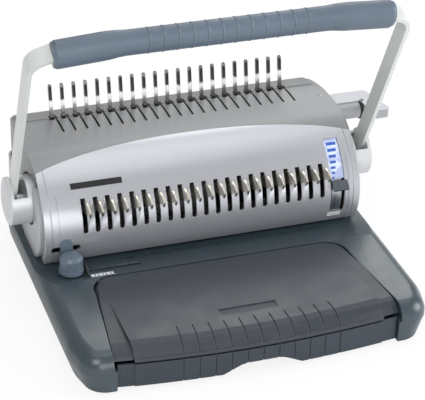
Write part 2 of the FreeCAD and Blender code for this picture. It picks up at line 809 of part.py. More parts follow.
def bent_bar():
    """Flat steel bar bent to a wide U; its crosspiece is buried in the grip."""
    arm = ARM_IN + ARM_T / 2.0
    middle = [(-arm, -10.0), (-arm, ARM_TOP), (-GRIP_HALF + 4.0, GRIP_END_S), (-GRIP_FLAT, GRIP_MID_S),
              (GRIP_FLAT, GRIP_MID_S), (GRIP_HALF - 4.0, GRIP_END_S), (arm, ARM_TOP), (arm, -10.0)]
    outline = strip_outline(middle, ARM_T)
    inside = [0, 18.0, 8.0, 20.0, 20.0, 8.0, 18.0, 0]
    outside = [0, 22.0, 8.0, 20.0, 20.0, 8.0, 22.0, 0]
    back = PIVOT_Y + ARM_BACK - ARM_W / 2.0
    bar = front_plate(outline, outside + inside, back, back + ARM_W)
    bar.translate(V(0, 0, PIVOT_Z))
    return leaned(bar)


def grip_section(x, along, scale):
    """One oval cross section of the grip, upright in the plane of the arms."""
    points = []
    for k in range(GRIP_SIDES):
        angle = 2.0 * math.pi * (k + 0.5) / GRIP_SIDES
        y = PIVOT_Y + GRIP_B * scale * math.cos(angle)
        points.append(V(x, y, PIVOT_Z + along + GRIP_A * scale * math.sin(angle)))
    return Part.makePolygon(points + [points[0]])


def handle_grip():
    """Soft grip: straight in the middle with fine raised rings, drooping at both ends."""
    fall = (GRIP_MID_S - GRIP_END_S) / (GRIP_HALF - GRIP_FLAT)
    ends = [(GRIP_HALF, 0.91), (GRIP_HALF - 2.0, 0.98), (GRIP_HALF - 5.0, 1.0), (GRIP_FLAT + 14.0, 1.0),
            (GRIP_FLAT, 0.97), (GRIP_FLAT - 14.0, GRIP_WAIST)]
    ends = [(x, GRIP_MID_S - fall * max(x - GRIP_FLAT, 0.0), k) for x, k in ends]
    peak = GRIP_WAIST + GRIP_RIB_H / GRIP_B
    rings = []
    for i in range(GRIP_RIBS):
        x = (i - (GRIP_RIBS - 1) / 2.0) * GRIP_RIB_PITCH
        rings += [(x - GRIP_RIB_W / 2, GRIP_MID_S, GRIP_WAIST), (x, GRIP_MID_S, peak),
                  (x + GRIP_RIB_W / 2, GRIP_MID_S, GRIP_WAIST)]
    stations = [(-x, along, k) for x, along, k in ends] + rings + ends[::-1]
    grip = Part.makeLoft([grip_section(x, along, k) for x, along, k in stations], True, True)
    return leaned(grip).cut(bent_bar())


def hub():
    """Cup-shaped hub: outer disc, drum and web, with a window over the top for the arm."""
    drum = rod_x(HUB_R, HUB_IN, HUB_OUT, PIVOT_Y, PIVOT_Z)
    drum = drum.cut(rod_x(HUB_R - HUB_WALL, HUB_WEB, ARM_IN + ARM_T, PIVOT_Y, PIVOT_Z))
    centre = (PIVOT_Y, PIVOT_Z)
    reach = 2.5 * HUB_R
    wedge = [centre, on_circle(centre, reach, WINDOW_REAR), on_circle(centre, reach, 90.0),
             on_circle(centre, reach, WINDOW_FRONT)]
    drum = drum.cut(side_plate(wedge, [0, 0, 0, 0], HUB_WEB, ARM_IN + ARM_T))
    return drum.cut(rod_x(SHAFT_R, HUB_IN - 1, HUB_WEB + 1, PIVOT_Y, PIVOT_Z))


def turned_x(profile):
    """Solid of revolution about the X axis from points (place along the axis, radius)."""
    wire = rounded_wire(profile, [0] * len(profile), in_plan, 0.0)
    return Part.Face(wire).revolve(V(0, 0, 0), V(1, 0, 0), 360)


def hub_cap():
    """Shallow cap that closes the hub's outer disc: bevelled rim, sloping face and flat middle."""
    middle = HUB_R * 0.4
    cap = turned_x([(HUB_OUT, 0), (HUB_OUT, HUB_R), (HUB_OUT + HUB_EDGE, HUB_R - HUB_EDGE), (DOME_X, middle),
                    (DOME_X, 0)])
    cap.translate(V(0, PIVOT_Y, PIVOT_Z))
    return cap


def handle_shaft():
    """Through shaft that the arms are welded to."""
    return rod_x(SHAFT_R, -ARM_IN, ARM_IN, PIVOT_Y, PIVOT_Z)


def punch_cams():
    """Eccentric discs on the handle shaft that push the punch bar down."""
    cam = cam_centre()
    disc = rod_x(CAM_R, CAM_IN, CAM_OUT, cam[0], cam[1])
    return both_sides(disc.cut(rod_x(SHAFT_R, CAM_IN - 1, CAM_OUT + 1, PIVOT_Y, PIVOT_Z)))


def base_outline(side, front):
    """Plan of the base, drawn in by side along the flanks and by front at the noses."""
    half = BASE_HALF - side
    rear_half = BASE_REAR_HALF - side
    nose = BASE_FRONT + front
    points = [(-half, 120.0), (-half, -150.0), (-half + 10.0, nose), (half - 10.0, nose), (half, -150.0),
              (half, 120.0), (rear_half, REAR_Y), (-rear_half, REAR_Y)]
    radii = [120.0, 80.0, 26.0 - front, 26.0 - front, 80.0, 120.0, 20.0, 20.0]
    return points, radii


def base_wire(side, front, z):
    points, radii = base_outline(side, front)
    return rounded_wire(points, radii, in_plan, z)


def base_body():
    """Base form: sides lean out to the widest line, rise and roll over to the deck."""
    low = base_wire(BASE_UNDER, 1.5, BASE_BOTTOM)
    skirt = Part.makeLoft([low, base_wire(0.0, 0.0, BASE_MID_Z)], True, True)
    upper = Part.Face(base_wire(0.0, 0.0, BASE_MID_Z)).extrude(V(0, 0, BASE_TOP - BASE_MID_Z))
    rim = [e for e in upper.Edges if e.BoundBox.ZMin > BASE_TOP - 0.01]
    return skirt.fuse(upper.makeFillet(BASE_SHOULDER, rim))


def hollow_wire(inset, front, z):
    points, radii = base_outline(inset, front)
    return rounded_wire(points, [0] * len(points), in_plan, z)


def base_hollow():
    """Hollow of the base: widest at the same line, drawn in towards floor and deck."""
    wall = BASE_WALL
    roll = BASE_SHOULDER * 0.5 + wall
    low = hollow_wire(BASE_UNDER + wall, 8.0 + wall, BASE_BOTTOM)
    middle = hollow_wire(wall, 8.0 + wall, BASE_MID_Z)
    return Part.makeLoft([low, middle, hollow_wire(roll, roll + 4.0, BASE_TOP - wall)], True, True)


def table_height(y):
    """The paper table falls from the lid to the throat."""
    share = (y - TABLE_FRONT) / (TABLE_BACK - TABLE_FRONT)
    return BASE_TOP + (DECK_Z - BASE_TOP) * min(max(share, 0.0), 1.0)


def table_wedge():
    half = BASE_HALF + 5.0
    points = [(TABLE_FRONT, BASE_TOP), (TABLE_BACK, DECK_Z), (REAR_Y + 10.0, DECK_Z), (REAR_Y + 10.0, 70.0),
              (TABLE_FRONT, 70.0)]
    return side_plate(points, [0, 0, 0, 0, 0], -half, half)


def lid_outline(grow):
    half_r = LID_REAR_HALF + grow
    half_f = LID_FRONT_HALF + grow
    front = BOW_MID - 20.0
    points = [(-half_r, LID_REAR + grow), (-half_r, -70.0), (-half_f, -180.0), (-half_f, front), (half_f, front),
              (half_f, -180.0), (half_r, -70.0), (half_r, LID_REAR + grow)]
    radii = [LID_REAR_R, 60.0, 60.0, 0, 0, 60.0, 60.0, LID_REAR_R]
    return points, radii


def stadium_slot(x0, x1, y, width, low, high):
    half = width / 2.0
    slot = box(x0 + half, x1 - half, y - half, y + half, low, high)
    return slot.fuse(rod_z(half, low, high, x0 + half, y)).fuse(rod_z(half, low, high, x1 - half, y))


def base_housing():
    """One-piece base: hollow, with a sloping paper table, two front rails and a bay between them."""
    outer = base_body()
    inner = base_hollow()
    inner = inner.common(box(-BASE_HALF, BASE_HALF, BASE_FRONT, REAR_Y - BASE_WALL, 0.0, BASE_TOP))
    inner = inner.fuse(box(-185.0, 185.0, -170.0, 170.0, BASE_BOTTOM - 1.0, BASE_BOTTOM + 1.0))
    table = outer.common(box(-BASE_HALF, BASE_HALF, TABLE_FRONT - 14.0, REAR_Y, TABLE_UNDER, BASE_TOP))
    shell = outer.cut(inner).fuse(table)
    rail = []
    for side in (-1, 1):
        x0 = min(side * (BAY_HALF + 1.0), side * (BAY_HALF + 3.5))
        rail.append(box(x0, x0 + 2.5, BASE_FRONT + 14.0, TABLE_FRONT, BASE_BOTTOM + FLOOR_T, BASE_TOP - 2.0))
    shell = shell.fuse(Part.makeCompound(rail).common(outer))
    shell = shell.cut(table_wedge())
    points, radii = lid_outline(LID_GAP)
    shell = shell.cut(plan_plate(points, radii, TABLE_UNDER - 6.0, BASE_TOP + 5.0))
    pin = LID_PIN_OUT + GAP
    seat = LID_PIN_R + RUN
    shell = shell.cut(box(-pin, pin, LID_PIN_Y - seat, LID_PIN_Y + seat, LID_PIN_Z - seat, LID_PIN_Z + seat))
    shell = shell.cut(box(-BAY_HALF, BAY_HALF, BASE_FRONT - 10.0, BASE_FRONT + 34.0, 0.0, BASE_TOP + 5.0))
    shell = shell.cut(box(-THROAT_HALF, THROAT_HALF, DIE_Y - DIE_D / 2, DIE_Y + DIE_D / 2, 0.0, 60.0))
    low = TABLE_UNDER - 1.0
    return shell.cut(stadium_slot(GUIDE_SLOT_L, GUIDE_SLOT_R, GUIDE_Y, GUIDE_SLOT_W, low, BASE_TOP + 5.0))


def base_floor():
    """Bottom plate with two strips that the drawer slides on."""
    low = BASE_BOTTOM
    high = BASE_BOTTOM + FLOOR_T
    plate = box(-184.0, 184.0, -169.0, 169.0, low, high)
    strips = [box(x - 4.0, x + 4.0, -165.0, 60.0, high, DRAWER_BOTTOM - GAP) for x in (-120.0, 120.0)]
    ribs = [box(x0, x0 + 3.0, -165.0, 52.0, high, 20.0)
            for x0 in (-DRAWER_HALF - GAP - 3.0, DRAWER_HALF + GAP)]
    for piece in strips + ribs:
        plate = plate.fuse(piece)
    return plate.removeSplitter()


def foot_places():
    return [(x, y) for x in (-172.0, 172.0) for y in (-155.0, 150.0)]


def rubber_feet():
    feet = []
    for x, y in foot_places():
        feet.append(box(x - FOOT_L / 2, x + FOOT_L / 2, y - FOOT_W / 2, y + FOOT_W / 2, 0.0, BASE_BOTTOM))
    return Part.makeCompound(feet)


def storage_tray():
    """Shallow tray under the lid for spare combs, carried on the rails."""
    half = TRAY_HALF
    outer = box(-half, half, TRAY_FRONT, TRAY_REAR, TRAY_LOW, TRAY_HIGH)
    wall = TRAY_WALL
    inner = box(-half + wall, half - wall, TRAY_FRONT + wall, TRAY_REAR - wall, TRAY_LOW + wall, TRAY_HIGH + 1)
    ear = box(half, BAY_HALF + 1.0, TRAY_FRONT + 7.0, TRAY_FRONT + 82.0, TRAY_LOW, TRAY_LOW + wall)
    return outer.cut(inner).fuse(ear).fuse(mirrored(ear)).removeSplitter()


def bow_radius():
    return (BAY_HALF ** 2 + BOW ** 2) / (2.0 * BOW)


def bow(x):
    """Front line of lid and drawer: a shallow arc, furthest forward in the middle."""
    radius = bow_radius()
    return BOW_MID + radius - math.sqrt(radius ** 2 - x ** 2)


def bow_centre():
    return V(0, BOW_MID + bow_radius(), 0)


def bowed(face):
    """Sweep a front section, drawn at the middle of the machine, along the bow."""
    face = face.copy()
    face.rotate(bow_centre(), V(0, 0, 1), -BOW_SWEEP)
    return face.revolve(bow_centre(), V(0, 0, 1), 2 * BOW_SWEEP)


def bowed_grooves(face):
    """Cutters for the upright grooves: thin slices of a front section, evenly spaced along the bow."""
    step = math.degrees(GROOVE_PITCH / bow_radius())
    width = math.degrees(GROOVE_W / bow_radius())
    slices = []
    for i in range(GROOVES):
        cutter = face.copy()
        cutter.rotate(bow_centre(), V(0, 0, 1), (i - (GROOVES - 1) / 2.0) * step - width / 2.0)
        slices.append(cutter.revolve(bow_centre(), V(0, 0, 1), width))
    return Part.makeCompound(slices)


def strip_face(y0, y1, z0, z1):
    points = [(y0, z0), (y1, z0), (y1, z1), (y0, z1)]
    return Part.Face(rounded_wire(points, [0, 0, 0, 0], in_side, 0.0))


def between(x0, x1):
    return box(x0, x1, BOW_MID - 40.0, 60.0, -10.0, 90.0)


def lid_roll(inset, back, drop, flats):
    """Lid skin line swept along the bow: nearly flat top that rolls over in short flats."""
    fall = LID_TOP - LID_BOTTOM - LID_LIP_H
    reach = math.sqrt(LID_ROLL ** 2 - (LID_ROLL - fall) ** 2)
    face = BOW_MID + LID_LIP + reach - LID_ROLL + back + inset
    high = LID_TOP - inset - drop
    rear_high = LID_TOP_REAR - inset
    rear = LID_REAR + 6.0
    share = (LID_REAR - LID_SIDE_START) / (LID_REAR - face)
    bend = rear_high + (LID_TOP - inset - rear_high) * share
    radius = LID_ROLL - inset
    centre = (face + radius, high - radius)
    low = LID_BOTTOM - (1.0 if inset > 0 else 0.0)
    last = 180.0 + math.degrees(math.asin(min((centre[1] - low) / radius, 1.0)))
    outer_r = radius / math.cos(math.radians((last - 90.0) / flats / 2.0))
    points = [(rear, low), (rear, rear_high), (LID_SIDE_START, bend), on_circle(centre, radius, 90.0)]
    for k in range(flats):
        points.append(on_circle(centre, outer_r, 90.0 + (last - 90.0) * (k + 0.5) / flats))
    points.append(on_circle(centre, radius, last))
    return Part.Face(rounded_wire(points, [0] * len(points), in_side, 0.0))


def lid_form(inset, flats):
    """Bowed middle panel with a strip at each side that sinks towards the front."""
    half = LID_SIDE_HALF - inset
    middle = bowed(lid_roll(inset, 0.0, 0.0, flats)).common(between(-half, half))
    return middle.fuse(bowed(lid_roll(inset, LID_SIDE_BACK, LID_SIDE_DROP, flats)))


def lid():
    """Hinged lid that rolls over the front, with grooves that run on into the drawer's face."""
    points, radii = lid_outline(0.0)
    plan = plan_plate(points, radii, LID_BOTTOM - 5.0, LID_TOP + 5.0)
    in_points, in_radii = lid_outline(-LID_WALL)
    plan_in = plan_plate(in_points, in_radii, LID_BOTTOM - 6.0, LID_TOP + 6.0)
    outer = lid_form(0.0, LID_FLATS).common(plan).removeSplitter()
    for bevel in lid_corner_bevel():
        outer = outer.cut(bevel).cut(mirrored(bevel))
    rim = outer.cut(plan_in).common(box(-200.0, 200.0, BOW_MID - 20.0, 0.0, LID_TOP_REAR - 5.0, LID_TOP + 1.0))
    shell = outer.cut(lid_form(LID_WALL, 2)).fuse(rim)
    lip = bowed(strip_face(BOW_MID, BOW_MID + LID_LIP + 2.6, LID_BOTTOM, LID_BOTTOM + LID_LIP_H))
    shell = shell.fuse(lip.common(between(-LID_SIDE_HALF, LID_SIDE_HALF)))
    skin = lid_roll(-1.0, 0.0, 0.0, LID_FLATS).cut(lid_roll(GROOVE_D, 0.0, 0.0, LID_FLATS))
    reach = strip_face(BOW_MID - 10.0, BOW_MID + LID_ROLL + 11.0, LID_BOTTOM + LID_LIP_H, LID_TOP + 1.0)
    shell = shell.cut(bowed_grooves(skin.common(reach).Faces[0]))
    chamfer = [(LID_REAR + 1.0, LID_TOP_REAR - LID_CHAMFER - 1.0), (LID_REAR + 1.0, LID_TOP_REAR + 1.0),
               (LID_REAR - LID_CHAMFER - 1.0, LID_TOP_REAR + 1.0)]
    shell = shell.cut(side_plate(chamfer, [0, 0, 0], -LID_REAR_HALF, LID_REAR_HALF))
    shell = shell.cut(lid_pull())
    ear = box(LID_PIN_IN, LID_PIN_IN + 4.0, LID_PIN_Y - 2.4, LID_PIN_Y + 2.0, LID_PIN_Z - 2.4, LID_TOP_REAR - 1.0)
    pin = rod_x(LID_PIN_R, LID_PIN_IN, LID_PIN_OUT, LID_PIN_Y, LID_PIN_Z)
    hinge = both_sides(ear.fuse(pin))
    return shell.fuse(hinge).removeSplitter()


def lid_corner_bevel():
    """Cutters that take the rear bevel round a corner and let it run out along the flank."""
    radius = LID_REAR_R
    x = LID_REAR_HALF - radius
    y = LID_REAR - radius
    low = LID_TOP_REAR - LID_CHAMFER - 1.0
    high = LID_TOP_REAR + 2.0
    cone = Part.makeCone(radius + 1.0, radius + 1.0 - (high - low), high - low, V(x, y, low), V(0, 0, 1))
    ring = rod_z(radius + 1.0, low, high, x, y).cut(cone)
    ring = ring.common(box(x, x + radius + 2.0, y, y + radius + 2.0, low, high))
    edge = x + radius + 1.0
    corners = [(edge, low), (edge, high), (edge - (high - low), high)]
    flank = Part.Face(rounded_wire(corners, [0, 0, 0], in_front, y)).extrude(V(8.3, -39.0, 0))
    return ring, flank


def lid_pull():
    """Shallow finger recess: a step at its rear edge that fades out towards the front."""
    top = LID_TOP + 2.0
    share = (LID_REAR - PULL_REAR) / (LID_REAR - BOW_MID - LID_ROLL)
    level = LID_TOP_REAR + (LID_TOP - LID_TOP_REAR) * share
    points = [(PULL_REAR, level - PULL_DEPTH), (PULL_REAR, top), (PULL_FRONT, top), (PULL_FRONT, level + 0.2)]
    return side_plate(points, [0, 0, 0, 0], PULL_LEFT, PULL_RIGHT)


def drawer_front():
    """Bowed face with grooves and an arched finger recess in its lower edge."""
    low = DRAWER_FACE_LOW
    high = DRAWER_FACE_HIGH
    face_y = BOW_MID + DRAWER_SET_BACK
    face = bowed(strip_face(face_y, face_y + DRAWER_FACE_T, low, high))
    face = face.common(between(-LID_SIDE_HALF, LID_SIDE_HALF))
    wing_y = face_y + DRAWER_WING_BACK
    wing = bowed(strip_face(wing_y, wing_y + DRAWER_FACE_T, low, high))
    wing = wing.common(between(LID_SIDE_HALF - 1.0, BAY_HALF - LID_GAP))
    face = face.fuse(wing).fuse(mirrored(wing))
    face = face.cut(bowed_grooves(strip_face(face_y - 1.0, face_y + GROOVE_D, low - 1.0, high + 1.0)))
    arch = [(-ARCH_HALF, low - 1.0), (ARCH_HALF, low - 1.0), (ARCH_TOP_HALF, low + ARCH_H),
            (-ARCH_TOP_HALF, low + ARCH_H)]
    return face.cut(front_plate(arch, [0, 0, 30.0, 30.0], BOW_MID - 12.0, BOW_MID + 12.0))


def chip_drawer():
    """Open tray that reaches back under the die and catches the paper chips."""
    wall = DRAWER_WALL
    outer = box(-DRAWER_HALF, DRAWER_HALF, DRAWER_TRAY_FRONT, DRAWER_BACK, DRAWER_BOTTOM, DRAWER_TOP)
    inner = box(-DRAWER_HALF + wall, DRAWER_HALF - wall, DRAWER_TRAY_FRONT + wall, DRAWER_BACK - wall,
                DRAWER_BOTTOM + wall, DRAWER_TOP + 1.0)
    tray = outer.cut(inner)
    arms = []
    for x in (-140.0, -60.0, 57.0, 137.0):
        front = bow(x) + DRAWER_SET_BACK + DRAWER_FACE_T / 2
        arms.append(box(x, x + 3.0, front, DRAWER_TRAY_FRONT + 1.0, DRAWER_FACE_LOW + 4.0, DRAWER_TOP))
    for arm in arms:
        tray = tray.fuse(arm)
    return tray.fuse(drawer_front()).removeSplitter()


def guide_base():
    return table_height(GUIDE_Y - GUIDE_R) + GAP


def knob_drum(radius, low, high):
    points = [on_circle((GUIDE_X, GUIDE_Y), radius, 360.0 * k / KNOB_SIDES) for k in range(KNOB_SIDES)]
    return plan_plate(points, [0] * KNOB_SIDES, low, high)


def guide_knob():
    """Faceted clamping knob on the paper table: a wider skirt under a drum with a bevelled top."""
    base = guide_base() + GUIDE_FOOT_T + RUN
    neck = base + 4.0
    top = base + GUIDE_H
    drum = knob_drum(GUIDE_R - 1.2, neck, top)
    rim = [e for e in drum.Edges if e.BoundBox.ZMin > top - 0.01]
    knob = knob_drum(GUIDE_R, base, neck).fuse(drum.makeChamfer(3.0, rim))
    return knob.cut(rod_z(GUIDE_STEM_R + RUN, base - 1.0, neck + 6.0, GUIDE_X, GUIDE_Y))


def guide_fence():
    """Sliding foot under the knob with a thin fin that the sheets' edge lies against."""
    base = guide_base()
    half = GUIDE_FOOT_HALF
    x = GUIDE_X + GUIDE_R + GAP
    front = GUIDE_Y - GUIDE_R - 1.0
    rear = GUIDE_Y + GUIDE_R - 1.0
    foot = box(GUIDE_X - half, x, GUIDE_Y - half, GUIDE_Y + half, base, base + GUIDE_FOOT_T)
    outline = [(front, base), (rear, base), (rear, base + 3.5), (GUIDE_Y - 2.0, base + FENCE_H), (front, base + 2.5)]
    fin = side_plate(outline, [0, 0, 0, 4.0, 0], x, x + FENCE_T)
    stem = rod_z(GUIDE_STEM_R, TABLE_UNDER - GAP, base + GUIDE_FOOT_T + 9.0, GUIDE_X, GUIDE_Y)
    return foot.fuse(fin).fuse(stem).removeSplitter()


def guide_nut():
    """Plate nut on the stem's end under the table."""
    high = TABLE_UNDER - GAP
    return box(GUIDE_X - 9.0, GUIDE_X + 9.0, GUIDE_Y - 6.0, GUIDE_Y + 6.0, high - 3.0, high)


def depth_selector():
    """Thumb lug in the oval slot that sets how deep the sheets go in."""
    skin = barrel_front(DEPTH_Z)
    half = DEPTH_LUG_W / 2.0
    low = DEPTH_Z - DEPTH_LUG_LOW
    high = DEPTH_Z + DEPTH_LUG_HIGH
    y0 = skin - DEPTH_LUG_OUT
    outline = [(DEPTH_X - half, low), (DEPTH_X + half, low), (DEPTH_X + half, high), (DEPTH_X - half, high)]
    lug = front_plate(outline, [0, 0, 6.0, 6.0], y0, y0 + 20.0)
    lug = lug.cut(rod_x(BARREL_R + GAP, DEPTH_X - 20.0, DEPTH_X + 20.0, BARREL_Y, BARREL_Z))
    stem_half = DEPTH_SLOT_H / 2.0 - GAP
    stem = box(DEPTH_X - 4.0, DEPTH_X + 4.0, skin - 3.0, skin + 8.0, DEPTH_Z - stem_half, DEPTH_Z + stem_half)
    flange = box(DEPTH_X - 6.0, DEPTH_X + 6.0, skin + 8.0, skin + 10.5, DEPTH_Z - 7.0, DEPTH_Z + 7.0)
    return lug.fuse(stem).fuse(flange).removeSplitter()


def size_plate():
    """Thin backing behind the size window, following the barrel."""
    band = hood_band(HOOD_WALL + 0.2, HOOD_WALL + 1.2, 50.0, WINDOW_L - 3.0, RAIL_R)
    return band.common(box(0.0, 200.0, -20.0, BARREL_Y, WINDOW_LOW - 4.0, WINDOW_HIGH + 3.0))


def size_label():
    """Raised face for the comb size scale in the upper half of the window."""
    band = hood_band(0.8, HOOD_WALL + 0.2, 50.0, WINDOW_L + 0.4, RAIL_R + 3.2)
    return band.common(box(0.0, 200.0, -20.0, BARREL_Y, LABEL_LOW, WINDOW_HIGH - 0.5))


def size_rail():
    """Bright strip that the size slider runs along."""
    band = hood_band(1.4, HOOD_WALL + 0.2, 50.0, RAIL_L, RAIL_R)
    return band.common(box(0.0, 200.0, -20.0, BARREL_Y, WINDOW_LOW + 0.5, LABEL_LOW - 0.5))


def ring_piece(r0, r1, start, stop, x0, x1):
    """Part of a ring about the barrel's axis between two angles."""
    edges = [
        side_arc(BARREL, r1, start, stop, x0),
        Part.makeLine(V(x0, *on_circle(BARREL, r1, stop)), V(x0, *on_circle(BARREL, r0, stop))),
        side_arc(BARREL, r0, stop, start, x0),
        Part.makeLine(V(x0, *on_circle(BARREL, r0, start)), V(x0, *on_circle(BARREL, r1, start))),
    ]
    return Part.Face(Part.Wire(edges)).extrude(V(x1 - x0, 0, 0))


def size_slider():
    """Wedge-shaped thumb slide that turns about the barrel's axis."""
    r = BARREL_R
    outline = [on_circle(BARREL, r + GAP, SLIDER_TOP), on_circle(BARREL, r + 1.2, SLIDER_TOP - 0.4),
               on_circle(BARREL, r + 8.5, SLIDER_LOW - 1.5), on_circle(BARREL, r + 7.4, SLIDER_LOW),
               on_circle(BARREL, r + GAP, SLIDER_LOW)]
    wedge = side_plate(outline, [0, 0, 1.0, 0, 0], WINDOW_L + 1.2, WINDOW_R + 2.6)
    wedge = wedge.cut(rod_x(r + GAP, WINDOW_L, WINDOW_R + 4.0, BARREL_Y, BARREL_Z))
    stem = ring_piece(r - 6.5, r + 2.0, SLIDER_TOP + 2.0, SLIDER_LOW - 2.0, RAIL_R + 0.6, WINDOW_R - 0.6)
    keeper = ring_piece(r - 6.5, r - 5.0, SLIDER_TOP + 1.0, SLIDER_LOW - 1.0, RAIL_L + 2.0, WINDOW_R - 0.6)
    return wedge.fuse(stem).fuse(keeper).removeSplitter()


def front_badge():
    """Plain dark strip on the barrel's upper left."""
    band = hood_band(-0.3, 0.0, 60.0, -154.0, -94.0)
    return band.common(box(-200.0, 0.0, -20.0, BARREL_Y, 131.0, 135.8))


def build():
    nodes = {
        "base_housing": base_housing(),
        "base_floor": base_floor(),
        "rubber_feet": rubber_feet(),
        "storage_tray": storage_tray(),
        "barrel_cover": barrel_cover(),
        "top_cover": top_cover(),
        "rear_cover": rear_cover(),
        "side_panel_left": mirrored(side_panel()),
        "side_panel_right": side_panel(),
        "chassis_left": mirrored(chassis_plate()),
        "chassis_right": chassis_plate(),
        "tie_bars": tie_bars(),
        "hook_shaft": hook_shaft(),
        "die_plate": die_plate(),
        "punch_guide": punch_guide(),
        "comb_posts": comb_posts(),
        "post_bar": post_bar(),
        "size_plate": size_plate(),
        "size_label": size_label(),
        "size_rail": size_rail(),
        "front_badge": front_badge(),
        "handle_bar": bent_bar(),
        "handle_grip": handle_grip(),
        "hubs": both_sides(hub()),
        "hub_caps": both_sides(hub_cap()),
        "handle_shaft": handle_shaft(),
        "punch_cams": punch_cams(),
        "punch_bar": punch_bar(),
        "punch_pins": punch_pins(),
        "hook_carrier": hook_carrier(),
        "front_hooks": front_hooks(),
        "opener_shaft": opener_shaft(),
        "opener_lever": opener_lever(),
        "rake_hooks": rake_hooks(),
        "lid": lid(),
        "chip_drawer": chip_drawer(),
        "guide_knob": guide_knob(),
        "guide_fence": guide_fence(),
        "guide_nut": guide_nut(),
        "depth_selector": depth_selector(),
        "size_slider": size_slider(),
    }
    os.makedirs("parts", exist_ok=True)
    for name, shape in nodes.items():
        shape.translate(V(-MID_X, -MID_Y, 0))
        shape.exportStep("parts/" + name + ".step")


build()
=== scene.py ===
"""Looks of a plastic-comb binding machine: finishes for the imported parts, small fittings and the studio.

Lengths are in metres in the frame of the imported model. A place on the machine is first written in millimetres
from the middle of its row of posts, as on a drawing, and turned into the frame's metres by spot().
"""

import math

import bmesh
import bpy
from bpy.props import BoolProperty, FloatProperty, FloatVectorProperty, IntProperty, PointerProperty
from mathutils import Matrix, Vector


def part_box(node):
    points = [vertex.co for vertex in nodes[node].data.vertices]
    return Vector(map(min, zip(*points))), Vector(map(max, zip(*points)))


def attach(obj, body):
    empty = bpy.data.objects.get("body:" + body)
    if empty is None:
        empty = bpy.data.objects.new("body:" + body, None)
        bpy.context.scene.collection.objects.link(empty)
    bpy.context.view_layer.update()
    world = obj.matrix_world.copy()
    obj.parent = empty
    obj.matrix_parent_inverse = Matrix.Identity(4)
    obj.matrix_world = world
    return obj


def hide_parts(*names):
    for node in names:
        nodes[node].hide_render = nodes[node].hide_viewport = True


bl_info = {
    "name": "Comb Binding Machine Looks",
    "version": (1, 0, 0),
    "blender": (4, 5, 0),
    "location": "3D View > Sidebar > Comb Binder",
    "description": "Finishes, small fittings and studio for the comb binding machine",
    "category": "Object",
}

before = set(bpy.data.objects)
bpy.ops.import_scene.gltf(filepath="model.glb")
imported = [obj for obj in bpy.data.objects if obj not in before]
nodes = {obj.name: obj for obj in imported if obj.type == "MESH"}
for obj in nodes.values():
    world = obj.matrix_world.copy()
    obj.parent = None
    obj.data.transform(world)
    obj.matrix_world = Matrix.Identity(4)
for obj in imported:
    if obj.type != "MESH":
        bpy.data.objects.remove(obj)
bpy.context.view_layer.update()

# Millimetres on the machine, from the middle of the row of posts
SHIFT_X = -22.5
SHIFT_Y = 8.5
BARREL_Y, BARREL_Z, BARREL_R = 63.5, 82.0, 63.6
PIVOT_Y, PIVOT_Z = 63.5, 103.7
LEAN = math.radians(26.57)
HUB_OUT = 218.0
HUB_R = 28.0
LEVER_Y, LEVER_Z, LEVER_END = 132.0, 122.0, 244.0
FLOOR_UNDER, WELL_X, WELL_Y = 3.9, 181.0, 117.5
LABEL_LEFT, LABEL_RIGHT, LABEL_LOW, LABEL_HIGH, LABEL_ROWS = 154.0, 170.5, 104.5, 141.5, 7.0
LID_REAR_Y, THROAT_Y = -39.0, 8.0
DECK_HIGH, DECK_LOW = 49.0, 41.0

# Share of a post's length that stands above the cover, and the edge angle up to which a turned form is soft
POST_SHOWN = 0.62
SOFT_ANGLE = math.radians(35.0)


def spot(x, y, z):
    """A place in millimetres on the machine, as a point of the frame in metres."""
    return Vector(((x + SHIFT_X) / 1000.0, (y + SHIFT_Y) / 1000.0, z / 1000.0))


def painted(red, green, blue):
    """A colour as it shows on screen, 0 to 255, as the linear value that a shader wants."""
    return tuple((c / 255.0 / 12.92) if c < 10.3 else ((c / 255.0 + 0.055) / 1.055) ** 2.4
                 for c in (red, green, blue))


# ---------------------------------------------------------------- settings


def colour(name, description, default):
    return FloatVectorProperty(name=name, description=description, subtype="COLOR", size=3, min=0.0, max=1.0,
                               default=default)


class BinderColours(bpy.types.PropertyGroup):
    """Colours of the machine's finishes."""

    base: colour("Base", "Moulded base and its rails", painted(46, 59, 66))
    lid: colour("Lid", "Lid of the table", painted(42, 47, 56))
    drawer: colour("Drawer", "Drawer for the punched chips", painted(38, 46, 55))
    grip: colour("Grip", "Handle grip and knobs", painted(80, 93, 106))
    barrel: colour("Barrel", "Metallic paint of the front cover", painted(178, 180, 186))
    cover: colour("Cover", "Paint of the top cover", painted(126, 128, 130))
    panel: colour("End panels", "End panels and rear cover", painted(168, 170, 174))
    arm: colour("Arms", "Enamel of the handle's steel bar", painted(205, 209, 206))
    hub: colour("Hubs", "Hubs of the handle", painted(200, 202, 205))
    lever: colour("Side lever", "Paint of the opening lever", painted(156, 158, 163))
    chrome: colour("Posts", "Polished comb posts", painted(225, 226, 228))
    nickel: colour("Hooks", "Nickel of the opening hooks", painted(196, 190, 178))
    steel: colour("Steel", "Plated and ground steel inside", painted(168, 170, 172))
    # Besides black plastic, this black is the painted shade on the end of the side lever's tube
    dark: colour("Black parts", "Black plastic and dark openings", painted(24, 25, 27))
    slider: colour("Size slider", "Dark plating of the size slider", painted(120, 130, 142))
    label_blue: colour("Label blue", "Printed blue of the size scale", painted(48, 82, 168))
    label_pale: colour("Label pale", "Printed ground of the size scale", painted(196, 207, 228))


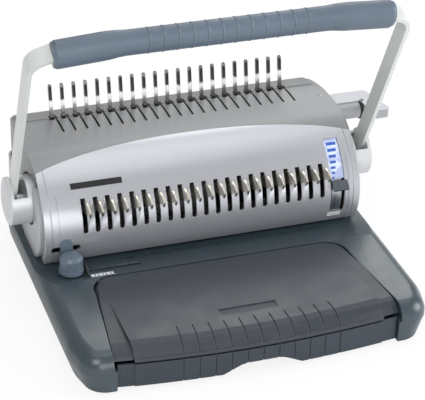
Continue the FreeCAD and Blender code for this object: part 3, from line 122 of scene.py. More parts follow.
class BinderSizes(bpy.types.PropertyGroup):
    """Sizes of the fittings that the finish adds."""

    grip_half: FloatProperty(name="Grip half length", description="Half the length of the grip", default=0.189,
                             min=0.1, max=0.2, unit="LENGTH")
    grip_rings: IntProperty(name="Grip rings", description="Raised rings in the slim middle of the grip",
                            default=12, min=0, max=24)
    grip_ring_height: FloatProperty(name="Ring height", description="How far a ring stands out", default=0.00055,
                                    min=0.0, max=0.002, unit="LENGTH", precision=5)
    screw_radius: FloatProperty(name="Screw head", description="Radius of a cover screw's head", default=0.0021,
                                min=0.001, max=0.004, unit="LENGTH", precision=5)
    # The fine rings on the barrel are painted shade of its grooves
    line_width: FloatProperty(name="Ring line", description="Width of the fine dark rings on the barrel",
                              default=0.0007, min=0.0002, max=0.002, unit="LENGTH", precision=5)
    tick_count: IntProperty(name="Scale ticks", description="Ticks of the scale beside the guide slot",
                            default=9, min=2, max=30)
    show_marks: BoolProperty(name="Printed marks", description="Print the plain marks and labels", default=True)


# ---------------------------------------------------------------- finishes


class Finish:
    """A small helper that wires one material on Object coordinates."""

    def __init__(self, name):
        self.material = bpy.data.materials.new(name)
        self.material.use_nodes = True
        self.tree = self.material.node_tree
        self.shader = self.tree.nodes["Principled BSDF"]
        self.place = self.node("ShaderNodeTexCoord").outputs["Object"]

    def node(self, kind, **settings):
        made = self.tree.nodes.new(kind)
        for key, value in settings.items():
            setattr(made, key, value)
        return made

    def link(self, source, target):
        self.tree.links.new(source, target)

    def stretched(self, x, y, z):
        mapping = self.node("ShaderNodeMapping")
        mapping.inputs["Scale"].default_value = (x, y, z)
        self.link(self.place, mapping.inputs["Vector"])
        return mapping.outputs["Vector"]

    def noise(self, scale, detail=3.0, place=None, roughness=0.5):
        made = self.node("ShaderNodeTexNoise")
        made.inputs["Scale"].default_value = scale
        made.inputs["Detail"].default_value = detail
        made.inputs["Roughness"].default_value = roughness
        self.link(place or self.place, made.inputs["Vector"])
        return made.outputs["Fac"]

    def put(self, socket, value):
        """Link a socket, or set a constant number or colour."""
        if isinstance(value, bpy.types.NodeSocket):
            self.link(value, socket)
        else:
            socket.default_value = (*value, 1.0) if isinstance(value, tuple) else value

    def sum(self, kind, *values):
        made = self.node("ShaderNodeMath", operation=kind)
        for socket, value in zip(made.inputs, values):
            self.put(socket, value)
        return made.outputs["Value"]

    def axes(self):
        parts = self.node("ShaderNodeSeparateXYZ")
        self.link(self.place, parts.inputs["Vector"])
        return parts.outputs

    def ranged(self, source, low, high, start=0.3, stop=0.7):
        made = self.node("ShaderNodeMapRange")
        for name, value in (("Value", source), ("From Min", start), ("From Max", stop), ("To Min", low),
                            ("To Max", high)):
            self.put(made.inputs[name], value)
        return made.outputs["Result"]

    def mixed(self, factor, first, second):
        made = self.node("ShaderNodeMix", data_type="RGBA")
        self.put(made.inputs["Factor"], factor)
        self.put(made.inputs["A"], first)
        self.put(made.inputs["B"], second)
        return made.outputs["Result"]

    def edges(self, radius):
        """How much a point lies on an edge, and the normal rounded over it."""
        bevel = self.node("ShaderNodeBevel", samples=4)
        bevel.inputs["Radius"].default_value = radius
        flat = self.node("ShaderNodeNewGeometry").outputs["Normal"]
        facing = self.node("ShaderNodeVectorMath", operation="DOT_PRODUCT")
        self.link(bevel.outputs["Normal"], facing.inputs[0])
        self.link(flat, facing.inputs[1])
        return self.ranged(facing.outputs["Value"], 1.0, 0.0, 0.8, 0.99), bevel.outputs["Normal"]

    def bumped(self, height, distance, strength, normal=None):
        made = self.node("ShaderNodeBump")
        made.inputs["Distance"].default_value = distance
        made.inputs["Strength"].default_value = strength
        self.link(height, made.inputs["Height"])
        if normal is not None:
            self.link(normal, made.inputs["Normal"])
        return made.outputs["Normal"]

    def done(self, base, rough, normal, metallic=0.0, coat=0.0):
        for name, value in (("Base Color", base), ("Roughness", rough), ("Normal", normal), ("Metallic", metallic),
                            ("Coat Weight", coat), ("Coat Roughness", 0.25)):
            self.put(self.shader.inputs[name], value)
        return self.material


def lighter(tone, share):
    """A colour moved towards white, or towards black with a negative share."""
    if share < 0:
        return tuple(c * (1.0 + share) for c in tone)
    return tuple(c + (1.0 - c) * share for c in tone)


def stronger(tone, share):
    """The same colour with more light in it, for grain on dark plastic."""
    return tuple(min(c * (1.0 + share), 1.0) for c in tone)


def moulded_plastic(name, tone, grain=900.0, depth=0.00005, strength=0.35, rough=0.42, wear=0.10, radius=0.0008,
                    coat=0.0):
    """Satin moulded plastic: fine spark-eroded grain, faint clouding, paler rubbed edges."""
    f = Finish(name)
    cloud = f.noise(14.0, 4.0)
    shade = f.mixed(f.ranged(cloud, 0.0, 1.0), lighter(tone, -0.10), stronger(tone, 0.08))
    speckle = f.noise(grain, 2.0)
    shade = f.mixed(f.ranged(speckle, 0.0, 0.4), shade, stronger(tone, 0.45))
    edge, soft = f.edges(radius)
    worn = f.sum("MULTIPLY", edge, f.ranged(f.noise(60.0, 3.0), 0.2, 1.0))
    shade = f.mixed(f.ranged(worn, 0.0, wear, 0.0, 1.0), shade, lighter(tone, 0.45))
    normal = f.bumped(speckle, depth, strength, soft)
    return f.done(shade, f.ranged(f.noise(35.0, 3.0), rough - 0.05, rough + 0.07), normal, coat=coat)


def metallic_paint(name, tone, metallic=0.55, rough=0.36, flake=0.12, wear=0.08):
    """Silver paint on moulded plastic: tiny flakes, faint orange peel and clouding."""
    f = Finish(name)
    flakes = f.node("ShaderNodeTexVoronoi", feature="F1")
    flakes.inputs["Scale"].default_value = 2600.0
    f.link(f.place, flakes.inputs["Vector"])
    spark = f.node("ShaderNodeSeparateColor")
    f.link(flakes.outputs["Color"], spark.inputs["Color"])
    shade = f.mixed(f.ranged(spark.outputs["Red"], 0.0, flake, 0.0, 1.0), lighter(tone, -0.03), lighter(tone, 0.5))
    shade = f.mixed(f.ranged(f.noise(9.0, 4.0), 0.0, 0.06), shade, lighter(tone, -0.4))
    edge, soft = f.edges(0.0007)
    shade = f.mixed(f.ranged(edge, 0.0, wear, 0.0, 1.0), shade, lighter(tone, 0.7))
    peel = f.noise(420.0, 2.0)
    return f.done(shade, f.ranged(spark.outputs["Green"], rough - 0.05, rough + 0.07, 0.0, 1.0),
                  f.bumped(peel, 0.00004, 0.18, soft), metallic=metallic, coat=0.15)


def drawn_metal(name, tone, rough=0.28, along=(6.0, 500.0, 500.0), depth=0.00003, wear=0.25, clouds=0.10,
                radius=0.0003):
    """Bare or plated metal with fine lines along its length and brighter edges."""
    f = Finish(name)
    lines = f.noise(1.0, 2.0, f.stretched(*along), 0.65)
    shade = f.mixed(f.ranged(lines, 0.0, 0.25), lighter(tone, -0.10), lighter(tone, 0.25))
    shade = f.mixed(f.ranged(f.noise(40.0, 3.0), 0.0, clouds), shade, lighter(tone, -0.6))
    edge, soft = f.edges(radius)
    shade = f.mixed(f.ranged(edge, 0.0, wear, 0.0, 1.0), shade, lighter(tone, 0.5))
    return f.done(shade, f.ranged(lines, rough - 0.06, rough + 0.08), f.bumped(lines, depth, 0.25, soft),
                  metallic=1.0)


def post_plating_painted_reflection(name, tone):
    """Bright plating of the posts with a painted reflection of a dark room, banded by height: dark blades, a
    bright band, grey feet, paler at the edges.
    """
    f = Finish(name)
    low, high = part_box("comb_posts")
    tall = high[2] - low[2]
    share_of_height = f.ranged(f.axes()["Z"], 0.0, 1.0, high[2] - POST_SHOWN * tall, high[2])
    waver = f.ranged(f.noise(55.0, 2.0), -0.05, 0.05)
    # painted reflection: the posts' colour runs through dark, bright and grey bands up their height
    painted_reflection_ramp = f.node("ShaderNodeValToRGB")
    f.link(f.sum("ADD", share_of_height, waver), painted_reflection_ramp.inputs["Fac"])
    painted_reflection_stops = ((0.0, 0.30), (0.30, 0.42), (0.40, 0.95), (0.50, 0.90), (0.56, 0.06), (0.90, 0.04), (0.97, 0.30))
    while len(painted_reflection_ramp.color_ramp.elements) < len(painted_reflection_stops):
        painted_reflection_ramp.color_ramp.elements.new(0.5)
    for element, (where, share) in zip(painted_reflection_ramp.color_ramp.elements, painted_reflection_stops):
        element.position = where
    for element, (where, share) in zip(painted_reflection_ramp.color_ramp.elements, painted_reflection_stops):
        element.color = (tone[0] * share, tone[1] * share, tone[2] * share, 1.0)
    lines = f.noise(1.0, 2.0, f.stretched(900.0, 900.0, 14.0), 0.6)
    edge, soft = f.edges(0.0003)
    shade = f.mixed(f.ranged(edge, 0.0, 0.35, 0.0, 1.0), painted_reflection_ramp.outputs["Color"], tone)
    return f.done(shade, f.ranged(lines, 0.10, 0.22), f.bumped(lines, 0.00001, 0.2, soft), metallic=1.0)


def printed(name, tone, mottle=0.05, rough=0.55):
    """Ink or film on a label: almost even, with the slight mottle of print."""
    f = Finish(name)
    dots = f.noise(1800.0, 1.0)
    shade = f.mixed(f.ranged(dots, 0.0, mottle), tone, lighter(tone, -0.5))
    return f.done(shade, f.ranged(f.noise(200.0, 2.0), rough - 0.05, rough + 0.05), f.bumped(dots, 0.00001, 0.1))


def scale_print(name, blue, pale):
    """Film of the size scale: rising bars on a pale ground with a soft blue wash between them."""
    f = Finish(name)
    low, high = spot(LABEL_LEFT, 0.0, LABEL_LOW), spot(LABEL_RIGHT, 0.0, LABEL_HIGH)
    across = f.ranged(f.axes()["X"], 0.0, 1.0, low.x, high.x)
    rows = f.sum("MULTIPLY", f.ranged(f.axes()["Z"], 0.0, 1.0, low.z, high.z), LABEL_ROWS)
    bar = f.sum("LESS_THAN", f.sum("FRACT", rows), 0.48)
    width = f.ranged(f.sum("FLOOR", rows), 0.28, 0.86, 0.0, 6.0)
    inside = f.sum("MULTIPLY", f.sum("LESS_THAN", across, width), f.sum("GREATER_THAN", across, 0.12))
    mark = f.sum("MULTIPLY", bar, inside)
    wash = f.ranged(f.noise(90.0, 1.0), 0.0, 0.75, 0.42, 0.6)
    ground = f.mixed(wash, pale, lighter(blue, 0.25))
    shade = f.mixed(mark, ground, blue)
    return f.done(shade, 0.35, f.bumped(f.noise(1200.0, 1.0), 0.00001, 0.1), coat=0.3)


def dress(node, material):
    """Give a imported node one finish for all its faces."""
    slots = nodes[node].material_slots
    for slot in slots:
        slot.link = "OBJECT"
        slot.material = material


def make_materials(colours):
    """All finishes of the machine by name."""

    def tone(name):
        return tuple(getattr(colours, name))

    return {
        "base": moulded_plastic("base_green_plastic", tone("base"), 700.0, 0.00004, 0.3, 0.30, 0.10, 0.0012,
                                coat=0.25),
        "lid": moulded_plastic("lid_slate_plastic", tone("lid"), 520.0, 0.00010, 0.5, 0.38, 0.12, 0.0010),
        "drawer": moulded_plastic("drawer_slate_plastic", tone("drawer"), 520.0, 0.00006, 0.35, 0.34, 0.12),
        "grip": moulded_plastic("grip_soft_plastic", tone("grip"), 850.0, 0.00006, 0.4, 0.43, 0.06),
        "knob": moulded_plastic("knob_plastic", tone("grip"), 900.0, 0.00004, 0.3, 0.30, 0.12, coat=0.2),
        "barrel": metallic_paint("barrel_silver_paint", tone("barrel"), 0.62, 0.34),
        "cover": metallic_paint("top_cover_paint", tone("cover"), 0.35, 0.46, 0.08),
        "panel": metallic_paint("panel_paint", tone("panel"), 0.35, 0.45, 0.08),
        "arm": metallic_paint("arm_enamel", tone("arm"), 0.10, 0.40, 0.05),
        "hub": metallic_paint("hub_silver", tone("hub"), 0.35, 0.38, 0.08),
        "chrome": post_plating_painted_reflection("post_chrome", tone("chrome")),
        "lever": metallic_paint("lever_silver", tone("lever"), 0.40, 0.36, 0.08),
        "nickel": drawn_metal("hook_nickel", tone("nickel"), 0.27, (500.0, 20.0, 20.0), 0.00003, 0.35, 0.3),
        "steel": drawn_metal("ground_steel", tone("steel"), 0.36),
        "slider": drawn_metal("slider_plating", tone("slider"), 0.22, (500.0, 20.0, 20.0), 0.00002, 0.4),
        "rail": drawn_metal("rail_steel", painted(188, 192, 198), 0.26, (500.0, 20.0, 20.0), 0.00002, 0.2),
        "black": moulded_plastic("black_plastic", tone("dark"), 800.0, 0.00005, 0.35, 0.45, 0.10),
        "rubber": moulded_plastic("foot_rubber", painted(30, 31, 32), 600.0, 0.00010, 0.6, 0.75, 0.05),
        "lamp_black": moulded_plastic("window_black", painted(14, 15, 17), 900.0, 0.00003, 0.3, 0.40,
                                      0.04, 0.0003),
        "white_ink": printed("mark_white", painted(226, 230, 232)),
        "grey_ink": printed("mark_grey", painted(120, 126, 132)),
        "groove": moulded_plastic("groove_shadow", painted(96, 98, 102), 900.0, 0.00002, 0.2, 0.60, 0.0, 0.0002),
        "scale": scale_print("size_scale_film", tone("label_blue"), tone("label_pale")),
        "screw": drawn_metal("screw_zinc", painted(150, 152, 154), 0.30, (300.0, 300.0, 300.0), 0.00002, 0.3),
    }


def finish(name):
    """A finish that the first operator has made."""
    return bpy.data.materials[FINISH_NAMES[name]]


FINISH_NAMES = {}

NODE_FINISHES = {
    "base": ("base_housing",),
    "black": ("base_floor", "storage_tray", "guide_fence"),
    "rubber": ("rubber_feet",),
    "barrel": ("barrel_cover",),
    "cover": ("top_cover",),
    "panel": ("rear_cover", "side_panel_left", "side_panel_right"),
    "steel": ("chassis_left", "chassis_right", "tie_bars", "hook_shaft", "die_plate", "punch_guide",
              "handle_shaft", "punch_cams", "punch_bar", "punch_pins", "hook_carrier", "opener_shaft",
              "guide_nut", "post_bar"),
    "chrome": ("comb_posts",),
    "nickel": ("front_hooks", "rake_hooks"),
    "lamp_black": ("size_plate", "front_badge"),
    "scale": ("size_label",),
    "rail": ("size_rail",),
    "slider": ("size_slider",),
    "arm": ("handle_bar",),
    "grip": ("handle_grip",),
    "hub": ("hubs", "hub_caps"),
    "lever": ("opener_lever",),
    "lid": ("lid",),
    "drawer": ("chip_drawer",),
    "knob": ("guide_knob", "depth_selector"),
}


# ---------------------------------------------------------------- mesh helpers


def new_piece(name, mesh, material, body):
    """Link a finished mesh as a piece of the machine that rides on a body."""
    piece = bpy.data.objects.new(name, mesh)
    bpy.context.scene.collection.objects.link(piece)
    if not mesh.materials:
        mesh.materials.append(material)
    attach(piece, body)
    return piece


def mesh_of(name, bm, material):
    """A mesh from a bmesh, with outward faces and soft shading over blunt edges."""
    bmesh.ops.remove_doubles(bm, verts=bm.verts, dist=1e-7)
    bmesh.ops.recalc_face_normals(bm, faces=bm.faces)
    for edge in bm.edges:
        if len(edge.link_faces) == 2:
            edge.smooth = edge.calc_face_angle(0.0) < SOFT_ANGLE
    for face in bm.faces:
        face.smooth = True
    mesh = bpy.data.meshes.new(name)
    bm.to_mesh(mesh)
    bm.free()
    mesh.materials.append(material)
    return mesh


def turned(bm, profile, centre, axis, segments=64):
    """Add a closed turned shape: a profile of (place along the axis, radius) with both ends on the axis."""
    axis = Vector(axis).normalized()
    side = axis.orthogonal().normalized()
    other = axis.cross(side)
    rings = []
    for along, radius in profile:
        middle = Vector(centre) + axis * along
        if radius < 1e-7:
            rings.append([bm.verts.new(middle)])
            continue
        ring = []
        for k in range(segments):
            a = 2.0 * math.pi * k / segments
            ring.append(bm.verts.new(middle + side * (radius * math.cos(a)) + other * (radius * math.sin(a))))
        rings.append(ring)
    for first, second in zip(rings, rings[1:]):
        for k in range(segments):
            m = (k + 1) % segments
            if len(first) == 1:
                bm.faces.new((first[0], second[k], second[m]))
            elif len(second) == 1:
                bm.faces.new((first[k], first[m], second[0]))
            else:
                bm.faces.new((first[k], first[m], second[m], second[k]))


def plain_mesh(carrier, name):
    """Turn the evaluated result of a carrier's node tree into a plain mesh, and drop the carrier."""
    bpy.context.view_layer.update()
    depsgraph = bpy.context.evaluated_depsgraph_get()
    result = bpy.data.meshes.new_from_object(carrier.evaluated_get(depsgraph), preserve_all_data_layers=True,
                                             depsgraph=depsgraph)
    result.name = name
    bpy.data.objects.remove(carrier)
    if not result.polygons:
        raise RuntimeError("the node tree for " + name + " made no faces")
    return result


# ---------------------------------------------------------------- node trees


class NodeTree:
    """A geometry node group with named inputs, built step by step."""

    def __init__(self, name):
        self.group = bpy.data.node_groups.new(name, "GeometryNodeTree")
        self.group.interface.new_socket("Geometry", in_out="INPUT", socket_type="NodeSocketGeometry")
        self.group.interface.new_socket("Geometry", in_out="OUTPUT", socket_type="NodeSocketGeometry")
        self.named = {}
        self.start = self.group.nodes.new("NodeGroupInput")
        self.end = self.group.nodes.new("NodeGroupOutput")

    def ask(self, name, kind, default=None):
        socket = self.group.interface.new_socket(name, in_out="INPUT", socket_type="NodeSocket" + kind)
        if default is not None:
            socket.default_value = default
        self.named[name] = socket.identifier

    def given(self, name):
        return self.start.outputs[name]

    def node(self, kind, **settings):
        made = self.group.nodes.new(kind)
        for key, value in settings.items():
            setattr(made, key, value)
        return made

    def put(self, socket, value):
        if isinstance(value, bpy.types.NodeSocket):
            self.group.links.new(value, socket)
        else:
            socket.default_value = value

    def sum(self, kind, *values):
        made = self.node("ShaderNodeMath", operation=kind)
        for socket, value in zip(made.inputs, values):
            self.put(socket, value)
        return made.outputs["Value"]

    def ranged(self, value, start, stop, low, high):
        made = self.node("ShaderNodeMapRange", interpolation_type="SMOOTHSTEP")
        for name, given in (("Value", value), ("From Min", start), ("From Max", stop), ("To Min", low),
                            ("To Max", high)):
            self.put(made.inputs[name], given)
        return made.outputs["Result"]

    def close(self, geometry, material, keep=None):
        """End the tree in Realize Instances and Set Material, sparing faces that have a material to keep."""
        real = self.node("GeometryNodeRealizeInstances")
        coat = self.node("GeometryNodeSetMaterial")
        self.put(real.inputs["Geometry"], geometry)
        self.put(coat.inputs["Geometry"], real.outputs["Geometry"])
        coat.inputs["Material"].default_value = material
        if keep is not None:
            kept = self.node("GeometryNodeMaterialSelection")
            kept.inputs["Material"].default_value = keep
            others = self.node("FunctionNodeBooleanMath", operation="NOT")
            self.put(others.inputs[0], kept.outputs["Selection"])
            self.put(coat.inputs["Selection"], others.outputs["Boolean"])
        self.put(self.end.inputs["Geometry"], coat.outputs["Geometry"])

    def run(self, carrier, **values):
        """Put the tree on a carrier with its inputs set by identifier, and return the plain mesh."""
        modifier = carrier.modifiers.new(self.group.name, "NODES")
        modifier.node_group = self.group
        for name, value in values.items():
            modifier[self.named[name.replace("_", " ")]] = value
        return plain_mesh(carrier, self.group.name)


def carrier_of_points(name, points):
    mesh = bpy.data.meshes.new(name)
    mesh.from_pydata([tuple(p) for p in points], [], [])
    carrier = bpy.data.objects.new(name, mesh)
    bpy.context.scene.collection.objects.link(carrier)
    return carrier


def carrier_of_line(name, points):
    curve = bpy.data.curves.new(name, "CURVE")
    curve.dimensions = "3D"
    spline = curve.splines.new("POLY")
    spline.points.add(len(points) - 1)
    for target, point in zip(spline.points, points):
        target.co = (*point, 1.0)
    carrier = bpy.data.objects.new(name, curve)
    bpy.context.scene.collection.objects.link(carrier)
    return carrier


def grip_tree(material):
    """Grip as a rule: an oval swept along its line, slimmer and ringed in the middle, drooping at the ends."""
    t = NodeTree("grip_sleeve")
    for name, default in (("Half length", 0.189), ("Long radius", 0.017), ("Short radius", 0.0142),
                          ("Waist", 0.89), ("Ring height", 0.00055), ("Ring pitch", 0.016), ("Fall", 0.0896),
                          ("Flat half", 0.122), ("Rise", 0.2665)):
        t.ask(name, "Float", default)
    t.ask("Rings", "Int", 12)
    line = t.node("GeometryNodeCurvePrimitiveLine")
    ends = []
    for sign in (-1.0, 1.0):
        point = t.node("ShaderNodeCombineXYZ")
        t.put(point.inputs["X"], t.sum("MULTIPLY", t.given("Half length"), sign))
        ends.append(point.outputs["Vector"])
    t.put(line.inputs["Start"], ends[0])
    t.put(line.inputs["End"], ends[1])
    fine = t.node("GeometryNodeResampleCurve")
    t.put(fine.inputs["Curve"], line.outputs["Curve"])
    fine.inputs["Count"].default_value = 760
    where = t.node("ShaderNodeSeparateXYZ")
    t.put(where.inputs["Vector"], t.node("GeometryNodeInputPosition").outputs["Position"])
    x = where.outputs["X"]
    far = t.sum("ABSOLUTE", x)
    past = t.sum("MAXIMUM", t.sum("SUBTRACT", far, t.given("Flat half")), 0.0)
    height = t.sum("SUBTRACT", t.given("Rise"), t.sum("MULTIPLY", past, t.given("Fall")))
    target = t.node("ShaderNodeCombineXYZ")
    t.put(target.inputs["X"], x)
    t.put(target.inputs["Z"], height)
    moved = t.node("GeometryNodeSetPosition")
    t.put(moved.inputs["Geometry"], fine.outputs["Curve"])
    t.put(moved.inputs["Position"], target.outputs["Vector"])
    slope = 0.014
    waist = t.ranged(far, t.sum("SUBTRACT", t.given("Flat half"), slope),
                     t.sum("ADD", t.given("Flat half"), slope), t.given("Waist"), 1.0)
    tip = t.ranged(far, t.sum("SUBTRACT", t.given("Half length"), 0.0045), t.given("Half length"), 0.0, 0.10)
    half_pitch = t.sum("MULTIPLY", t.given("Ring pitch"), 0.5)
    nearest = t.sum("PINGPONG", t.sum("ADD", x, half_pitch), half_pitch)
    ridge = t.ranged(nearest, 0.0, 0.0013, 1.0, 0.0)
    lead = t.ranged(nearest, 0.0013, 0.0026, 1.0, 0.0)
    lead = t.sum("MULTIPLY", t.sum("SUBTRACT", lead, ridge), -0.35)
    reach = t.sum("MULTIPLY", t.sum("MULTIPLY", t.given("Rings"), half_pitch), 1.0)
    here = t.sum("LESS_THAN", far, reach)
    ring = t.sum("MULTIPLY", t.sum("MULTIPLY", t.sum("ADD", ridge, lead), here),
                 t.sum("DIVIDE", t.given("Ring height"), t.given("Short radius")))
    scale = t.sum("ADD", t.sum("SUBTRACT", waist, tip), ring)
    sized = t.node("GeometryNodeSetCurveRadius")
    t.put(sized.inputs["Curve"], moved.outputs["Geometry"])
    t.put(sized.inputs["Radius"], scale)
    steady = t.node("GeometryNodeSetCurveNormal")
    steady.mode = "Z_UP"
    t.put(steady.inputs["Curve"], sized.outputs["Curve"])
    oval = t.node("GeometryNodeCurvePrimitiveCircle")
    oval.inputs["Resolution"].default_value = 48
    oval.inputs["Radius"].default_value = 1.0
    shaped = t.node("GeometryNodeTransform")
    size = t.node("ShaderNodeCombineXYZ")
    t.put(size.inputs["X"], t.given("Short radius"))
    t.put(size.inputs["Y"], t.given("Long radius"))
    size.inputs["Z"].default_value = 1.0
    t.put(shaped.inputs["Geometry"], oval.outputs["Curve"])
    t.put(shaped.inputs["Scale"], size.outputs["Vector"])
    swept = t.node("GeometryNodeCurveToMesh")
    t.put(swept.inputs["Curve"], steady.outputs["Curve"])
    t.put(swept.inputs["Profile Curve"], shaped.outputs["Geometry"])
    swept.inputs["Fill Caps"].default_value = True
    if "Scale" in swept.inputs:
        radius = t.node("GeometryNodeInputRadius")
        t.put(swept.inputs["Scale"], radius.outputs["Radius"])
    soft = t.node("GeometryNodeSetShadeSmooth")
    t.put(soft.inputs["Geometry"], swept.outputs["Mesh"])
    leaned = t.node("GeometryNodeTransform")
    t.put(leaned.inputs["Geometry"], soft.outputs["Geometry"])
    leaned.inputs["Rotation"].default_value = (LEAN, 0.0, 0.0)
    leaned.inputs["Translation"].default_value = spot(0.0, PIVOT_Y, PIVOT_Z)
    t.close(leaned.outputs["Geometry"], material)
    return t


def line_tree(name, material):
    """A fine flat strip that follows a curve."""
    t = NodeTree(name)
    t.ask("Width", "Float", 0.0007)
    t.ask("Height", "Float", 0.0001)
    strip = t.node("GeometryNodeCurvePrimitiveQuadrilateral")
    t.put(strip.inputs["Width"], t.given("Height"))
    t.put(strip.inputs["Height"], t.given("Width"))
    swept = t.node("GeometryNodeCurveToMesh")
    t.put(swept.inputs["Curve"], t.given("Geometry"))
    t.put(swept.inputs["Profile Curve"], strip.outputs["Curve"])
    swept.inputs["Fill Caps"].default_value = True
    t.close(swept.outputs["Mesh"], material)
    return t


def screw_tree(material, recess):
    """Pan-head screws with a cross recess on each point of the carrier, heads along +Z; the recess is painted
    shade, drawn as near-black raised bars.
    """
    t = NodeTree("cover_screws")
    t.ask("Head radius", "Float", 0.0021)
    t.ask("Turn", "Vector")
    t.ask("Seed", "Int", 4)
    head = t.node("GeometryNodeMeshCone")
    head.inputs["Vertices"].default_value = 32
    head.inputs["Side Segments"].default_value = 1
    t.put(head.inputs["Radius Top"], t.sum("MULTIPLY", t.given("Head radius"), 0.72))
    t.put(head.inputs["Radius Bottom"], t.given("Head radius"))
    t.put(head.inputs["Depth"], t.sum("MULTIPLY", t.given("Head radius"), 0.42))
    parts = t.node("GeometryNodeJoinGeometry")
    t.group.links.new(head.outputs["Mesh"], parts.inputs["Geometry"])
    for wide, deep in ((1.05, 0.22), (0.22, 1.05)):
        bar = t.node("GeometryNodeMeshCube")
        size = t.node("ShaderNodeCombineXYZ")
        t.put(size.inputs["X"], t.sum("MULTIPLY", t.given("Head radius"), wide))
        t.put(size.inputs["Y"], t.sum("MULTIPLY", t.given("Head radius"), deep))
        t.put(size.inputs["Z"], t.sum("MULTIPLY", t.given("Head radius"), 0.44))
        t.put(bar.inputs["Size"], size.outputs["Vector"])
        up = t.node("GeometryNodeTransform")
        lift = t.node("ShaderNodeCombineXYZ")
        t.put(lift.inputs["Z"], t.sum("MULTIPLY", t.given("Head radius"), 0.205))
        t.put(up.inputs["Geometry"], bar.outputs["Mesh"])
        t.put(up.inputs["Translation"], lift.outputs["Vector"])
        # painted shade: the cross recess is near-black bars, standing for the shade inside it
        dark = t.node("GeometryNodeSetMaterial")
        dark.inputs["Material"].default_value = recess
        t.put(dark.inputs["Geometry"], up.outputs["Geometry"])
        t.group.links.new(dark.outputs["Geometry"], parts.inputs["Geometry"])
    spread = t.node("FunctionNodeRandomValue", data_type="FLOAT_VECTOR")
    spread.inputs["Min"].default_value = (0.0, 0.0, 0.0)
    spread.inputs["Max"].default_value = (0.0, 0.0, 1.5)
    t.put(spread.inputs["Seed"], t.given("Seed"))
    turn = t.node("FunctionNodeRotateEuler", space="LOCAL")
    t.put(turn.inputs["Rotation"], t.given("Turn"))
    t.put(turn.inputs["Rotate By"], spread.outputs["Value"])
    placed = t.node("GeometryNodeInstanceOnPoints")
    t.put(placed.inputs["Points"], t.given("Geometry"))
    t.put(placed.inputs["Instance"], parts.outputs["Geometry"])
    t.put(placed.inputs["Rotation"], turn.outputs["Rotation"])
    t.close(placed.outputs["Instances"], material, recess)
    return t


def tick_tree(material):
    """Printed ticks along a straight scale, every fourth one longer."""
    t = NodeTree("scale_ticks")
    t.ask("Count", "Int", 9)
    t.ask("Step", "Float", 0.0035)
    t.ask("Tick width", "Float", 0.0005)
    t.ask("Tick length", "Float", 0.0024)
    row = t.node("GeometryNodeMeshLine")
    t.put(row.inputs["Count"], t.given("Count"))
    offset = t.node("ShaderNodeCombineXYZ")
    t.put(offset.inputs["X"], t.given("Step"))
    t.put(row.inputs["Offset"], offset.outputs["Vector"])
    bar = t.node("GeometryNodeMeshCube")
    size = t.node("ShaderNodeCombineXYZ")
    t.put(size.inputs["X"], t.given("Tick width"))
    t.put(size.inputs["Y"], t.given("Tick length"))
    size.inputs["Z"].default_value = 0.00008
    t.put(bar.inputs["Size"], size.outputs["Vector"])
    index = t.node("GeometryNodeInputIndex").outputs["Index"]
    fourth = t.sum("LESS_THAN", t.sum("MODULO", index, 4.0), 0.5)
    scale = t.node("ShaderNodeCombineXYZ")
    scale.inputs["X"].default_value = 1.0
    t.put(scale.inputs["Y"], t.sum("MULTIPLY_ADD", fourth, 0.6, 1.0))
    scale.inputs["Z"].default_value = 1.0
    placed = t.node("GeometryNodeInstanceOnPoints")
    t.put(placed.inputs["Points"], row.outputs["Mesh"])
    t.put(placed.inputs["Instance"], bar.outputs["Mesh"])
    t.put(placed.inputs["Scale"], scale.outputs["Vector"])
    t.close(placed.outputs["Instances"], material)
    return t


# ---------------------------------------------------------------- operators


class BINDER_OT_finishes(bpy.types.Operator):
    """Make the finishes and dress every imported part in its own"""

    bl_idname = "binder.finishes"
    bl_label = "Finishes"

    def execute(self, context):
        for name, material in make_materials(context.scene.binder_colours).items():
            FINISH_NAMES[name] = material.name
        done = set()
        for name, members in NODE_FINISHES.items():
            for node in members:
                dress(node, finish(name))
                done.add(node)
        left = sorted(set(nodes) - done)
        if left:
            raise RuntimeError("no finish for " + ", ".join(left))
        return {"FINISHED"}


class BINDER_OT_grip(bpy.types.Operator):
    """Sweep the soft grip with its raised rings over the handle bar"""

    bl_idname = "binder.grip"
    bl_label = "Grip sleeve"

    def execute(self, context):
        sizes = context.scene.binder_sizes
        tree = grip_tree(finish("grip"))
        mesh = tree.run(carrier_of_points("grip_carrier", [(0.0, 0.0, 0.0)]), Half_length=sizes.grip_half,
                        Rings=sizes.grip_rings, Ring_height=sizes.grip_ring_height)
        bm = bmesh.new()
        bm.from_mesh(mesh)
        bmesh.ops.recalc_face_normals(bm, faces=bm.faces)
        bm.to_mesh(mesh)
        bm.free()
        piece = new_piece("grip_sleeve", mesh, finish("grip"), "handle")
        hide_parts("handle_grip")
        return {"FINISHED"}


class BINDER_OT_hub_discs(bpy.types.Operator):
    """Turn the shallow domed discs that close the two hubs"""

    bl_idname = "binder.hub_discs"
    bl_label = "Hub discs"

    def execute(self, context):
        bm = bmesh.new()
        edge = 1.8
        dome = [(HUB_OUT + edge + 4.2 * (1.0 - (r / (HUB_R - edge)) ** 2), r)
                for r in (HUB_R - edge, 24.0, 20.0, 15.0, 10.0, 5.0, 0.0)]
        rim = [(HUB_OUT, 0.0), (HUB_OUT, HUB_R), (HUB_OUT + 0.5, HUB_R), (HUB_OUT + 1.2, HUB_R - 0.5)]
        profile = [(a / 1000.0, r / 1000.0) for a, r in rim + dome]
        for side in (-1.0, 1.0):
            turned(bm, profile, spot(0.0, PIVOT_Y, PIVOT_Z), (side, 0.0, 0.0), 72)
        piece = new_piece("hub_discs", mesh_of("hub_discs", bm, finish("hub")), finish("hub"), "handle")
        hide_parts("hub_caps")
        return {"FINISHED"}


